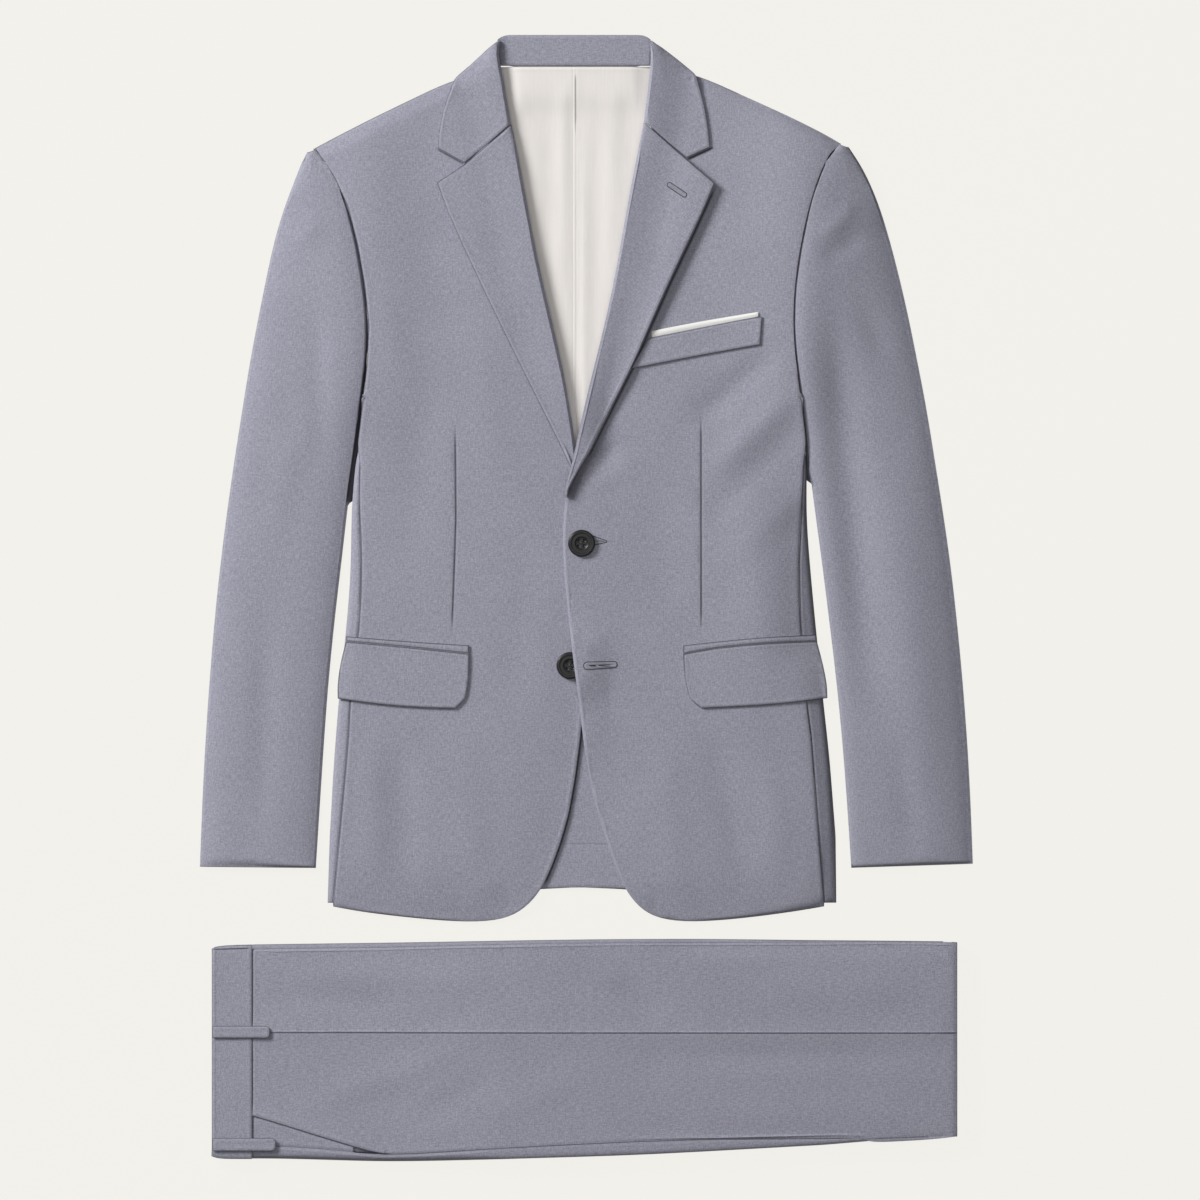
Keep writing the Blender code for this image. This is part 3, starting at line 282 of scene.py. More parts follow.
@cache
def trim_cloth():
    """White cotton: the trim that stands out of the chest pocket."""
    white = settings("suit_trims").chest_trim
    shader = Shader("trim", Roughness=0.7, Sheen_Weight=0.1, Specular_IOR_Level=0.25)
    place, across, along = grain_place(shader)
    weave = plain_weave(across, along, 0.00045)
    yarns = shader.noise(place, (1 / 0.0009, 1 / 0.0009, 1), detail=3.0)
    return shader.finish(shader.blend(yarns, rgba(white), rgba(white, 0.93)),
                         0.7 + (yarns - 0.5) * 0.1, weave * 0.5 + yarns, 0.0001, 0.4)


@cache
def horn():
    """Dark horn: faint paler clouds and streaks under a satin polish."""
    dark = settings("suit_trims").horn
    shader = Shader("horn", Roughness=0.36, Coat_Weight=0.10, Coat_Roughness=0.22,
                    Specular_IOR_Level=0.3)
    place = shader.node("ShaderNodeTexCoord", output="Object")
    cloud = shader.noise(place, (260, 420, 260), detail=4.0)
    streaks = shader.noise(place, (1800, 240, 900))
    pale = rgba([channel * 2.6 + 0.003 for channel in dark])
    share = (cloud - 0.38) * 1.4 + (streaks - 0.5) * 0.3
    return shader.finish(shader.blend(share, rgba(dark), pale), 0.36 + (cloud - 0.5) * 0.16,
                         streaks, 0.00004, 0.35)


@cache
def thread(name, brightness):
    """Twisted sewing thread."""
    colour = settings("suit_trims").thread
    shader = Shader(name, Roughness=0.6, Sheen_Weight=0.15, Specular_IOR_Level=0.3)
    place = shader.node("ShaderNodeTexCoord", output="Object")
    twist = shader.noise(place, (2600, 2600, 2600))
    strands = shader.blend(twist, rgba(colour, 0.6 * brightness), rgba(colour, 1.25 * brightness))
    return shader.finish(strands, 0.55 + twist * 0.12, twist, 0.00006, 0.5)


# ---- numbers

def ramp(share):
    """Rise evenly from 0 to 1, for a number or an array."""
    return np.clip(share, 0, 1)


def ease(share):
    """Rise smoothly from 0 to 1."""
    share = ramp(share)
    return share * share * (3 - 2 * share)


def near(distance, reach):
    """Fall evenly from 1 at a line to 0 at a distance from it."""
    return ramp(1 - distance / reach)


def window(place, low, high, rise, fall=None):
    """Rise smoothly above one place and fall back before another, each over a length."""
    return ease((place - low) / rise) * ease((high - place) / (fall or rise))


def vectors_of(collection, value):
    flat = np.empty(len(collection) * 3)
    collection.foreach_get(value, flat)
    return flat.reshape(-1, 3)


def points_of(mesh):
    """The mesh's points in millimetres, as rows of x, y and z."""
    return vectors_of(mesh.vertices, "co") / MM


def normals_of(mesh):
    return vectors_of(mesh.vertex_normals, "vector")


def move_points(mesh, points):
    mesh.vertices.foreach_set("co", (points * MM).ravel())
    mesh.update()


def along_line(points, start, end):
    """How far points lie along a line in plan and off to its left, and its length."""
    run = np.subtract(end, start)
    length = math.hypot(*run)
    off = points[:, :2] - start
    return off @ run / length, (off[:, 1] * run[0] - off[:, 0] * run[1]) / length, length


class Outline:
    """How far nodes reach to one side in x, in millimetres, by the height y."""

    STEP = 5.0

    def __init__(self, sign, *nodes):
        ends = []
        for node in nodes:
            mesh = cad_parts[node].data
            points = points_of(mesh)[:, :2]
            ends += [(*points[edge.vertices[0]], *points[edge.vertices[1]]) for edge in mesh.edges]
        x0, y0, x1, y1 = np.array(ends).T
        self.sign = sign
        self.ys = np.arange(min(y0.min(), y1.min()), max(y0.max(), y1.max()), self.STEP)
        self.xs = []
        for y in self.ys:
            crossing = (y0 - y) * (y1 - y) <= 0
            rise = np.where(y1 == y0, 1.0, y1 - y0)
            crossed = x0 + (x1 - x0) * ramp((y - y0) / rise)
            self.xs.append((crossed[crossing] * sign).max() * sign)

    def reach_at(self, y):
        return np.interp(y, self.ys, self.xs)

    def inset(self, points):
        """How far points lie inside the outline."""
        return (self.reach_at(points[:, 1]) - points[:, 0]) * self.sign


# ---- folds in the cloth

Fold = namedtuple("Fold", "x0 y0 x1 y1 width height")
FOLDS = [Fold(*row) for row in (
    # drape from the left chest towards the armhole
    (78, 138, 180, 226, 12, -2.2), (96, 98, 190, 186, 12, 2.4),
    (92, 52, 196, 160, 12, -1.3), (112, 20, 196, 100, 13, 1.2),
    (120, 330, 150, 210, 26, 1.6), (150, 60, 166, -60, 22, 1.8),
    # left front below the pocket, and above it
    (106, -104, 140, -262, 13, -1.3), (60, -110, 84, -262, 14, 0.9),
    (62, 130, 70, -30, 16, -0.8), (150, -110, 172, -262, 12, 1.0),
    # right front below the pocket, and above it
    (-158, -100, -154, -268, 15, -1.6), (-186, -104, -184, -262, 12, 0.8),
    (-104, -104, -96, -262, 16, 0.7), (-138, 190, -150, 20, 18, -0.9),
    (-92, 250, -80, 60, 18, 0.8), (-44, 90, -66, -120, 16, -0.9),
    # right chest
    (-150, 330, -110, 210, 20, -0.9), (-178, 280, -150, 160, 14, 0.8),
    # the chest and sleeve heads stand up along the armholes
    (186, 500, 190, 90, 46, 8.5), (-190, 490, -196, 70, 42, 4.0),
    # the left front stands up before it falls to the side seam
    (138, 180, 148, -150, 34, 2.6),
    # the hollow under the lapel's lower edge
    (34, 140, -14, 84, 9, -2.0),
    # left sleeve
    (206, 300, 250, -130, 15, -4.0), (262, 160, 296, -220, 24, 2.2),
    (196, 306, 236, 340, 6, 1.4), (198, 286, 240, 314, 7, -1.6),
    (266, -110, 284, -232, 10, -1.2), (230, 260, 262, 200, 9, -0.9),
    # right sleeve
    (-232, 262, -228, 96, 9, -1.2), (-274, 10, -280, -222, 11, -1.4),
    (-250, 150, -272, 40, 12, 0.9), (-226, 330, -250, 300, 7, 0.7),
    # trousers: from the pocket towards the crease, and along the leg
    (-262, -446, -84, -380, 12, 0.8), (-150, -452, -70, -404, 11, -0.8),
    (-110, -460, 20, -400, 13, 0.5), (30, -394, 330, -392, 11, -0.9),
    (-262, -322, -60, -330, 11, 0.9), (20, -322, 70, -364, 12, -1.1),
    (-284, -340, -150, -352, 9, -0.7), (110, -336, 320, -334, 14, 0.7),
    (60, -440, 320, -446, 14, 0.7), (40, -300, 320, -302, 8, -0.8),
)]
HOLLOWS = [Fold(*row) for row in (         # shallow creases on the underside
    (-150, 250, -40, 60, 9, 0.5), (120, 240, 30, 40, 10, 0.45),
    (-170, 90, -60, 20, 7, 0.4), (150, -20, 40, -80, 8, 0.4),
    (-90, -90, -110, -240, 9, 0.45), (70, -110, 95, -235, 8, 0.4),
    (-270, 180, -290, -120, 8, 0.35), (252, 150, 284, -130, 9, 0.4),
    (-262, -350, 60, -372, 9, 0.45), (-120, -452, 240, -436, 8, 0.4),
    (40, -330, 300, -318, 10, 0.35),
)]
RIPPLES = ((0.045, 0.16), (0.019, 0.05))    # size in metres and height of the cloth's unevenness

Fall = namedtuple("Fall", "edge side width depth low high")
FALLS = [Fall(*row) for row in (    # where the cloth rolls down to an edge, between two heights
    ("body", "left", 56, 5.2, -60, 80), ("body", "left", 30, 4.6, -290, -60),
    ("body", "right", 16, 1.6, -290, 140),
    ("sleeve", "left", 50, 5.2, -260, 330), ("sleeve", "right", 34, 2.0, -260, 330),
    ("sleeve seam", "right", 40, 2.6, -230, 350), ("sleeve seam", "left", 12, 1.2, -260, 330),
)]
FALL_FADE = 40
FALL_CURVE = 2.2
BODY_MIDDLE = -5
DEEPEST = -5.2          # the lowest that folds and falls may reach together
FOLD_END = 0.35         # share of a fold's length over which each end dies away
WARP_HEIGHT = 6.0       # below this height the folds die away towards the surface


def fold_height(fold, points):
    """A soft trough or ridge along a line, deepest in its middle."""
    along, off, length = along_line(points, (fold.x0, fold.y0), (fold.x1, fold.y1))
    return (fold.height * np.exp(-(off / fold.width) ** 2)
            * window(along / length, 0, 1, FOLD_END))


EDGES = {       # an outline's pieces, and 1 for their outer side or -1 for their inner side
    "body": (1, "side_panel", "front"), "front": (1, "front"), "centre": (-1, "front"),
    "sleeve": (1, "top_sleeve"), "sleeve seam": (-1, "top_sleeve"),
    "roll": (-1, "lapel", "collar"),
}


@cache
def outline_of(edge, side):
    sign, *parts = EDGES[edge]
    return Outline(sign * OUTWARD[side], *(f"{part}_{side}" for part in parts))


def inset(edge, side, points):
    """How far points lie inside one of the edges."""
    return outline_of(edge, side).inset(points)


def fall_depth(fall, points):
    """How far the cloth has rolled down at points near an edge."""
    x, y, _ = points.T
    rolled = near(inset(fall.edge, fall.side, points), fall.width) ** FALL_CURVE
    on_side = (x - BODY_MIDDLE) * OUTWARD[fall.side] > 0
    reach = window(y, fall.low - FALL_FADE / 2, fall.high + FALL_FADE / 2, FALL_FADE)
    return fall.depth * rolled * reach * on_side


def relief(points, on_sleeve):
    """How far the cloth at each point rises from its solid, in millimetres."""
    height = sum(fold_height(fold, points) for fold in FOLDS)
    for fall in FALLS:
        if on_sleeve == fall.edge.startswith("sleeve"):
            height -= fall_depth(fall, points)
    for size, amount in RIPPLES:
        places = (points[:, :2] * MM / size).tolist()
        height += amount * np.array([noise.noise((x, y, 0.5)) for x, y in places])
    return np.maximum(height, DEEPEST)


def settle(mesh, node):
    """Move every layer by the folds' height, less and less towards the surface below."""
    points = points_of(mesh)
    z = points[:, 2]
    height = relief(points, "sleeve" in node)
    underside = (z < 0.05) * (normals_of(mesh)[:, 2] < -0.5)
    z += height * ramp(z / WARP_HEIGHT)
    hollows = sum(fold_height(fold, points) for fold in HOLLOWS)
    z += np.maximum(hollows, 0) * underside
    points[:, 2] = np.maximum(z, 0)
    move_points(mesh, points)


# ---- cloth shells

def mesh_of(bm, name):
    """A mesh from a bmesh, which is freed."""
    mesh = bpy.data.meshes.new(name)
    bm.to_mesh(mesh)
    bm.free()
    return mesh


def link(name, data):
    """A new object in the scene."""
    made = bpy.data.objects.new(name, data)
    bpy.context.scene.collection.objects.link(made)
    return made


def node_mesh(name):
    """A merged copy of a solid's mesh, its triangles joined to quads."""
    bm = bmesh.new()
    bm.from_mesh(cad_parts[name].data)
    bmesh.ops.remove_doubles(bm, verts=bm.verts[:], dist=WELD)
    bmesh.ops.join_triangles(bm, faces=bm.faces[:], angle_face_threshold=math.radians(40),
                             angle_shape_threshold=math.radians(70))
    bm.normal_update()
    return bm


RIM_ANGLE = math.radians(48)
EDGE_PRESS = 0.3        # how far the iron has pressed a rim down
EDGE_WELT = 0.2         # height of the soft ridge that the turned-in cloth makes inside it
WELT_PLACE = 2.3
WELT_WIDTH = 1.0


def open_above(tree, place, normal):
    """Whether nothing of its own solid lies over a place on the solid's surface."""
    return tree.ray_cast(place + normal * 0.1 * MM, (0, 0, 1))[0] is None


def rim_lines(bm, tree):
    """The upper edges of the walls' rims in plan: rows of both ends, in millimetres."""
    ends = []
    for edge in bm.edges:
        normals = [face.normal for face in edge.link_faces]
        steep = edge.is_convex and edge.calc_face_angle(0) > RIM_ANGLE
        upper = max(normal.z for normal in normals) > 0.7
        wall = min(abs(normal.z) for normal in normals) < 0.3
        middle = (edge.verts[0].co + edge.verts[1].co) / 2
        if steep and upper and wall and open_above(tree, middle, sum(normals, Vector())):
            ends.append((*edge.verts[0].co.xy, *edge.verts[1].co.xy))
    return np.array(ends).reshape(-1, 4) / MM


def distance_to(lines, points):
    """How far each point is in plan from the nearest line, in millimetres."""
    nearest = np.full(len(points), np.inf)
    for line in lines:
        start = line[:2]
        run = line[2:] - start
        off = points[:, :2] - start
        along = ramp(off @ run / max(run @ run, 1e-9))
        off = off - along[:, None] * run
        nearest = np.minimum(nearest, (off * off).sum(axis=1))
    return np.sqrt(nearest)


def ring_top(bm, rings, tree):
    """Add lines of points inside the top's rim, so that the edge can be shaped."""
    top = [face for face in bm.faces if face.normal.z > UPWARD
           and open_above(tree, face.calc_center_median(), face.normal)]
    for inset in rings:
        bmesh.ops.inset_region(bm, faces=top, thickness=inset * MM, depth=0,
                               use_boundary=True, use_even_offset=False)


def add_shade(mesh, darkness):
    """Deepen the cloth's shade at its points, where it isn't as dark already."""
    shade = mesh.attributes.get("shade") or mesh.attributes.new("shade", "FLOAT", "POINT")
    values = np.empty(len(darkness))
    shade.data.foreach_get("value", values)
    shade.data.foreach_set("value", np.maximum(values, darkness))


def press_rim(mesh, lines, cut, pressed):
    """Press the upper rim down, raise a soft welt inside it and paint shade along its line."""
    points = points_of(mesh)
    inside = distance_to(lines, points)
    upper = ease((normals_of(mesh)[:, 2] + 0.1) / 0.4)
    if pressed:
        upper = upper * pressed(points)
    welt = EDGE_WELT * np.exp(-((inside - WELT_PLACE) / WELT_WIDTH) ** 2)
    points[:, 2] += (welt - EDGE_PRESS * near(inside, WELT_PLACE) ** 2) * upper
    move_points(mesh, points)
    add_shade(mesh, cut.line * near(inside, cut.edge) ** 1.2 * upper)


def away_from(edge, side):
    """A share that is 0 along an edge and 1 from a little inside it."""
    return lambda points: ramp((inset(edge, side, points) - 1.5) / 2)


@cache
def solid_tree(node):
    """A search tree of a solid's surface."""
    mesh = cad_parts[node].data
    return BVHTree.FromPolygons([vert.co for vert in mesh.vertices],
                                [face.vertices[:] for face in mesh.polygons])


SEAM_REACH = 1.2        # rims that are nearer to each other than this are sewn together
SEAM_DRAW = 0.6         # share of the gap that each of them closes
FACING_UP = 0.92        # z of the normal above which a point isn't on a rim


def beside(node):
    """The other solids that a solid may be sewn to."""
    low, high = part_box(node)
    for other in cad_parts:
        other_low, other_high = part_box(other)
        gaps = [max(low[axis] - other_high[axis], other_low[axis] - high[axis])
                for axis in range(3)]
        if other != node and max(gaps) < SEAM_REACH * MM:
            yield other


def close_seams(mesh, node):
    """Draw the rims towards the rims beside them that they are sewn to."""
    sewn = [solid_tree(other) for other in beside(node)]
    points = points_of(mesh)
    normals = normals_of(mesh)
    for index in np.flatnonzero(np.abs(normals[:, 2]) < FACING_UP):
        here = Vector(points[index]) * MM
        for tree in sewn:
            place = tree.find_nearest(here, SEAM_REACH * MM)[0]
            if place is None:
                continue
            gap = (place - here) / MM
            if abs(gap.z) < 0.5 * gap.length and gap.dot(normals[index]) > 0:
                draw = SEAM_DRAW * min(4 - 4 * gap.length / SEAM_REACH, 1)
                points[index, :2] += draw * np.array(gap.xy)
                break
    move_points(mesh, points)


def round_rims(bm, radius):
    """Round the cut or folded edges of a wall."""
    rims = [edge for edge in bm.edges
            if edge.is_convex and edge.calc_face_angle(0) > RIM_ANGLE]
    bmesh.ops.bevel(bm, geom=rims, offset=radius * MM, offset_type="OFFSET", segments=2,
                    profile=0.5, affect="EDGES", clamp_overlap=True, material=-1)


def smoothed(bm, levels):
    """Subdivide the surface smoothly, and give the result as a new bmesh."""
    rough = link("rough", mesh_of(bm, "rough"))
    rounding = rough.modifiers.new("Smooth", "SUBSURF")
    rounding.levels = rounding.render_levels = levels
    graph = bpy.context.evaluated_depsgraph_get()
    fine = bmesh.new()
    fine.from_mesh(rough.evaluated_get(graph).to_mesh())
    rough.evaluated_get(graph).to_mesh_clear()
    mesh = rough.data
    bpy.data.objects.remove(rough)
    bpy.data.meshes.remove(mesh)
    return fine


def refine(bm, longest):
    """Halve edges until none is longer than a size in millimetres."""
    for _ in range(3):
        coarse = [edge for edge in bm.edges if edge.calc_length() > longest * MM]
        if not coarse:
            break
        bmesh.ops.subdivide_edges(bm, edges=coarse, cuts=1, use_grid_fill=True)


Groove = namedtuple("Groove", "points width depth shade fade ridge", defaults=(0.0,))


def near_segment(face, start, end, reach):
    """Whether an upward face lies along a segment, within reach in millimetres."""
    if face.normal.z < UPWARD:
        return False
    middle = face.calc_center_median().xy / MM
    run = end - start
    along = (middle - start).dot(run) / run.length
    off = abs((middle - start).cross(run)) / run.length
    return off < reach and -reach < along < run.length + reach


SHOULDER = 1.6          # from a groove's middle to its shoulders, in widths of the groove
GROOVE_LINES = (-SHOULDER, -0.8, 0, 0.8, SHOULDER, 2 * SHOULDER)
GROOVE_REACH = 9        # how far from a groove faces are cut


def cut_along(bm, groove):
    """Add the lines of points that a groove needs: its middle and both shoulders."""
    for start, end in pairwise(Vector(point) for point in groove.points):
        side = (end - start).orthogonal().normalized()
        for share in GROOVE_LINES:
            faces = [face for face in bm.faces
                     if near_segment(face, start, end, GROOVE_REACH)]
            geometry = set(faces)
            for face in faces:
                geometry.update(face.edges)
                geometry.update(face.verts)
            place = (start + side * groove.width * share) * MM
            bmesh.ops.bisect_plane(bm, geom=list(geometry), dist=CLOSE,
                                   plane_co=(*place, 0), plane_no=(*side, 0))


def press_groove(mesh, groove, floor_height):
    """Lower the points along a groove, raise its left side, and note its shade on them."""
    points = points_of(mesh)
    segments = [along_line(points, start, end) for start, end in pairwise(groove.points)]
    total = sum(length for _, _, length in segments)
    shoulder = SHOULDER * groove.width
    depth = np.zeros(len(points))
    ridge = np.zeros(len(points))
    passed = 0.0
    for along, off, length in segments:
        travelled = passed + np.clip(along, 0, length)
        here = (along >= -0.01) * (along <= length + 0.01)
        here = here * window(travelled, 0, total, groove.fade)
        depth = np.maximum(depth, near(np.abs(off), shoulder) * here)
        ridge = np.maximum(ridge, near(np.abs(off - shoulder), shoulder) * here)
        passed += length
    depth **= 1.5
    above = points[:, 2] > floor_height
    points[:, 2] += (groove.ridge * ridge - groove.depth * depth) * above
    move_points(mesh, points)
    add_shade(mesh, groove.shade * depth * above)


def lay_grain(mesh, degrees, shift):
    """Map the cloth in metres, across and along its warp; the map turns down at the edges."""
    points = points_of(mesh) * MM
    drop = points[:, 2].max() - points[:, 2]
    points += normals_of(mesh) * drop[:, None] + (shift, -shift, 0)
    turn = math.radians(degrees)
    place = np.column_stack((points[:, 0] * math.cos(turn) + points[:, 1] * math.sin(turn),
                             points[:, 1] * math.cos(turn) - points[:, 0] * math.sin(turn)))
    corners = np.empty(len(mesh.loops), int)
    mesh.loops.foreach_get("vertex_index", corners)
    grain = mesh.uv_layers.new(name="grain")
    grain.data.foreach_set("uv", place[corners].ravel())


def add_piece(name, mesh, finish, slot, *nodes):
    """Link a finished mesh as a piece that rides on the suit and stands for its solids."""
    mesh.materials.clear()
    mesh.materials.append(finish)
    mesh.shade_smooth()
    piece = link(name, mesh)
    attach(piece, "root")
    if nodes:
        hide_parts(*nodes)
    return piece


# grain in degrees, mirrored on the right, the rim's radius, the flat cut of what shows, and
# the strength of the rim's line of painted shade, with the rings of points inside it and that
# line's width
Cut = namedtuple("Cut", "grain rim width length share held line rings edge",
                 defaults=(0.8, (1.4, 1.8), 0.9))
CUTS = {
    "front": Cut(0, 0.5, 240, 740, 0.72, "laid", line=0.9),
    "back": Cut(0, 0.5, 235, 725, 0.86, "laid", line=0.9),
    "side_panel": Cut(0, 0.5, 75, 445, 0.80, "folded", rings=(), line=0.85),
    "top_sleeve": Cut(8, 0.5, 170, 625, 0.80, "laid"),
    "under_sleeve": Cut(8, 0.45, 110, 610, 0.72, "laid"),
    "lapel": Cut(33, 0.5, 110, 275, 0.55, "folded"),
    "collar": Cut(-24, 0.5, 62, 112, 0.75, "folded"),
    "collar_stand": Cut(90, 0.4, 26, 130, 0.90, "laid", rings=(1.2,)),
    "collar_back": Cut(90, 0.5, 55, 128, 0.85, "folded", line=0.2, rings=()),
    "back_lining": Cut(0, 0.3, 155, 345, 0.72, "laid", line=0.1),
    "back_hem_facing": Cut(0, 0.3, 102, 165, 0.60, "laid", line=0.3),
    "pocket_jet": Cut(0, 0.3, 116, 10, 0.60, "folded", rings=(), line=1.0, edge=1.2),
    "pocket_flap": Cut(0, 0.35, 118, 54, 0.88, "laid", line=1.0, edge=1.5),
    "chest_welt": Cut(-10, 0.4, 102, 27, 0.88, "laid", line=0.9, edge=1.1),
    "chest_trim": Cut(-10, 0.3, 98, 10, 0.60, "folded", line=0.2, rings=()),
    "folded_layers": Cut(90, 0.3, 192, 640, 0.97, "folded", rings=()),
    "leg_front": Cut(90, 0.5, 190, 625, 0.93, "folded", line=0.6),
    "leg_back": Cut(90, 0.4, 24, 525, 0.75, "folded", line=0.2, rings=()),
    "pocket_facing": Cut(90, 0.35, 28, 90, 0.45, "laid", rings=(0.9,), line=0.4, edge=0.7),
    "waistband": Cut(0, 0.6, 36, 195, 0.97, "folded", line=0.6),
    "belt_loop_front": Cut(90, 0.4, 11, 52, 0.93, "laid", line=1.0, rings=(1.2,)),
    "belt_loop_side": Cut(90, 0.4, 11, 56, 0.93, "laid", line=1.0, rings=(1.2,)),
}


def add_cloth(node, rests_on=(), grooves=(), longest=7.0, levels=2, finish=worsted,
              slot="suit_cloth", shape=None, pressed=None, painted_shade=None, **changes):
    """A cloth piece on its solid's form, with rounded rims, folds, grooves and grain."""
    part, _, side = node.rpartition("_") if node.endswith(SIDES) else (node, "", "")
    cut = CUTS[part]._replace(**changes)
    tree = solid_tree(node)
    bm = node_mesh(node)
    rims = rim_lines(bm, tree)
    ring_top(bm, cut.rings, tree)
    round_rims(bm, cut.rim)
    bm = smoothed(bm, levels)
    refine(bm, longest)
    for groove in grooves:
        cut_along(bm, groove)
    mesh = mesh_of(bm, f"{node}_cloth")
    press_rim(mesh, rims, cut, pressed)
    points = points_of(mesh)
    # painted shade: darkening put into the colour where the piece lies in shade or shadow
    if painted_shade:
        add_shade(mesh, painted_shade(points))
    if shape:
        shape(points)
        move_points(mesh, points)
    close_seams(mesh, node)
    settle(mesh, node)
    low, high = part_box(node)
    for groove in grooves:
        press_groove(mesh, groove, (low.z + high.z) / 2 / MM - 1.0)
    cut_place = 0.37 * (sum(map(ord, node)) % 17)       # its own place on the cloth, in metres
    lay_grain(mesh, -cut.grain if side == "right" else cut.grain, cut_place)
    piece = add_piece(f"{node}_cloth", mesh, finish(), slot, node)
    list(rests_on)


# ---- jacket

PRESSED_AND_PAINTED = {         # darts with painted shade in them, and painted shadow lines, pressed in a little, under the lapel's and collar's edges on the fronts
    "right": (
        Groove(((-112.7, 154.8), (-111.9, 67.1), (-114.3, -1.7), (-115.7, -37)),
               0.9, 0.9, 0.75, 26),
        Groove(((-128.5, 385.8), (-104.6, 372.3)), 0.9, 0.8, 0.8, 3),
    ),
    "left": (
        Groove(((97.2, 162.7), (98.6, 151.7), (98.8, -36.7)), 0.9, 0.9, 0.75, 26),
        Groove(((112.5, 356.5), (107.4, 346.0), (92.9, 314.2), (73.2, 272.9), (54.7, 231.2),
                (40.4, 198.3), (25.9, 169.6), (13.7, 145.0), (-1.2, 114.5)),
               1.3, 1.2, 0.9, 12),
        Groove(((108.0, 388.6), (107.0, 386.2), (85.6, 376.4)), 1.1, 1.0, 0.95, 3),
    ),
}

EDGE_WIDTH = 2.6
EDGE_DROP = 1.4
LAPEL_FOOT = ((-16, 84), (38, 196))     # a line along the left lapel's lower edge
SHADOW_REACH = 17
PANEL_TOP = 110         # height y above which the front runs out over the side panel
PANEL_RISE = 26         # length over which it begins to
# painted shadow of the right front's centre edge, on the layers below it in the vent
VENT_PAINTED_SHADOW = Groove([(float(outline_of("centre", "right").reach_at(y)) + 0.7, y)
                    for y in range(-248, -64, 14)], 1.25, 0.0, 1.0, 6)


def front_shape(side, points):
    """The front runs out over the side panel's top, and the lapped edge is pressed round."""
    x, y, z = points.T
    inside = inset("front", side, points)
    over = inset("body", side, points) - inside
    x += OUTWARD[side] * over * ease((y - PANEL_TOP) / PANEL_RISE) * near(inside, 25)
    if side == "left":
        z -= EDGE_DROP * near(inset("centre", side, points), EDGE_WIDTH) ** 2


def panel_shape(side, points):
    """The side panel goes under the front towards its top."""
    x, y, z = points.T
    under = ease((y - PANEL_TOP) / PANEL_RISE)
    x -= OUTWARD[side] * (1.2 * under + 1.4 * ease((y - 162) / 10))
    z -= 1.8 * under * (z > 3)


def panel_painted_shade(points):
    """Painted shade on the left panel, over all of it and deepest at its outer edge, where it
    turns away from the light.
    """
    return 0.2 + 0.45 * near(inset("body", "left", points), 6)


def lapel_shadow(points):
    """The soft shade on the front beside the lapel's foot."""
    along, off, _ = along_line(points, *LAPEL_FOOT)
    beside_foot = near(np.maximum(-off, 0), SHADOW_REACH) ** 1.6 * (off < 9)
    return 0.62 * beside_foot * window(along, -6, 95, 14, 60)


def left_front_line(points):
    """Its centre edge gets no painted shade line, and its armhole a faint one."""
    armhole = (points[:, 0] > 130) & (points[:, 1] > 190)
    return away_from("centre", "left")(points) * np.where(armhole, 0.15, 1)


class SUIT_OT_body(bpy.types.Operator):
    """Dress the fronts, side panels and back."""

    bl_idname = "suit.body"
    bl_label = "Body"

    def execute(self, context):
        for side in SIDES:
            left = side == "left"
            back = f"back_{side}"
            add_cloth(back, grooves=(VENT_PAINTED_SHADOW,), longest=16)
            add_cloth(f"side_panel_{side}", [back], shape=partial(panel_shape, side),
                      painted_shade=panel_painted_shade if left else None)
            add_cloth(f"front_{side}", [back], PRESSED_AND_PAINTED[side], longest=6,
                      shape=partial(front_shape, side), painted_shade=lapel_shadow if left else None,
                      pressed=left_front_line if left else None)
        # the facing's fold, pressed in a little with faint painted shade in it
        fold = Groove(((-44, -211.5), (38, -211.5)), 0.8, 0.15, 0.15, 4, ridge=0.1)
        add_cloth("back_hem_facing", ["back_right", "back_left"], (fold, VENT_PAINTED_SHADOW))
        return {"FINISHED"}


HEAD_SHIFT = {"right": (1.2, 2.3), "left": (-0.6, 1.1)}
UNDERARM = {"right": 81, "left": 99.5}  # height y above which the sleeve lies against the body
UNDERARM_SHADE = {"right": 0.95, "left": 0.3}
UNDER_BODY_SHADE = {"right": 0.97, "left": 0.62}


def sleeve_shape(side, points):
    """The head reaches the shoulder's end, and the underarm meets the body."""
    x, y, z = points.T
    inside = inset("sleeve seam", side, points)
    gap = -inside - inset("body", side, points)
    low = ramp((4 - z) / 2) * ramp((y - UNDERARM[side]) / 2)
    shift = np.clip(gap + 1.8 + 1.8 * ease((150 - y) / 20), 0, 9) * low
    if side == "left":
        shift = np.maximum(shift, np.clip(gap + 0.5, 0, 4) * ease((y - 97) / 12))
    x -= OUTWARD[side] * shift * near(inside, 25) * ease((372 - y) / 30)
    points[:, :2] += np.outer(ease((y - 355) / 27), HEAD_SHIFT[side])


def sleeve_painted_shade(side, points):
    """The deep shade where the sleeve lies against the body."""
    _, y, z = points.T
    inside = inset("sleeve seam", side, points)
    under = UNDER_BODY_SHADE[side] * (z < 5.5) * (inside < 4)
    shade = np.maximum(UNDERARM_SHADE[side] * near(inside, 1.4), under)
    return shade * window(y, UNDERARM[side] - 4, 300, 8, 120)


class SUIT_OT_sleeves(bpy.types.Operator):
    """Dress the top and under sleeves."""

    bl_idname = "suit.sleeves"
    bl_label = "Sleeves"

    def execute(self, context):
        # line: how strong the painted shade along the sleeves' rims is, deep on the right and
        # faint on the left
        for side, line in (("right", 0.8), ("left", 0.2)):
            add_cloth(f"under_sleeve_{side}", line=line)
            add_cloth(f"top_sleeve_{side}", [f"under_sleeve_{side}"], line=line,
                      shape=partial(sleeve_shape, side), painted_shade=partial(sleeve_painted_shade, side))
        return {"FINISHED"}


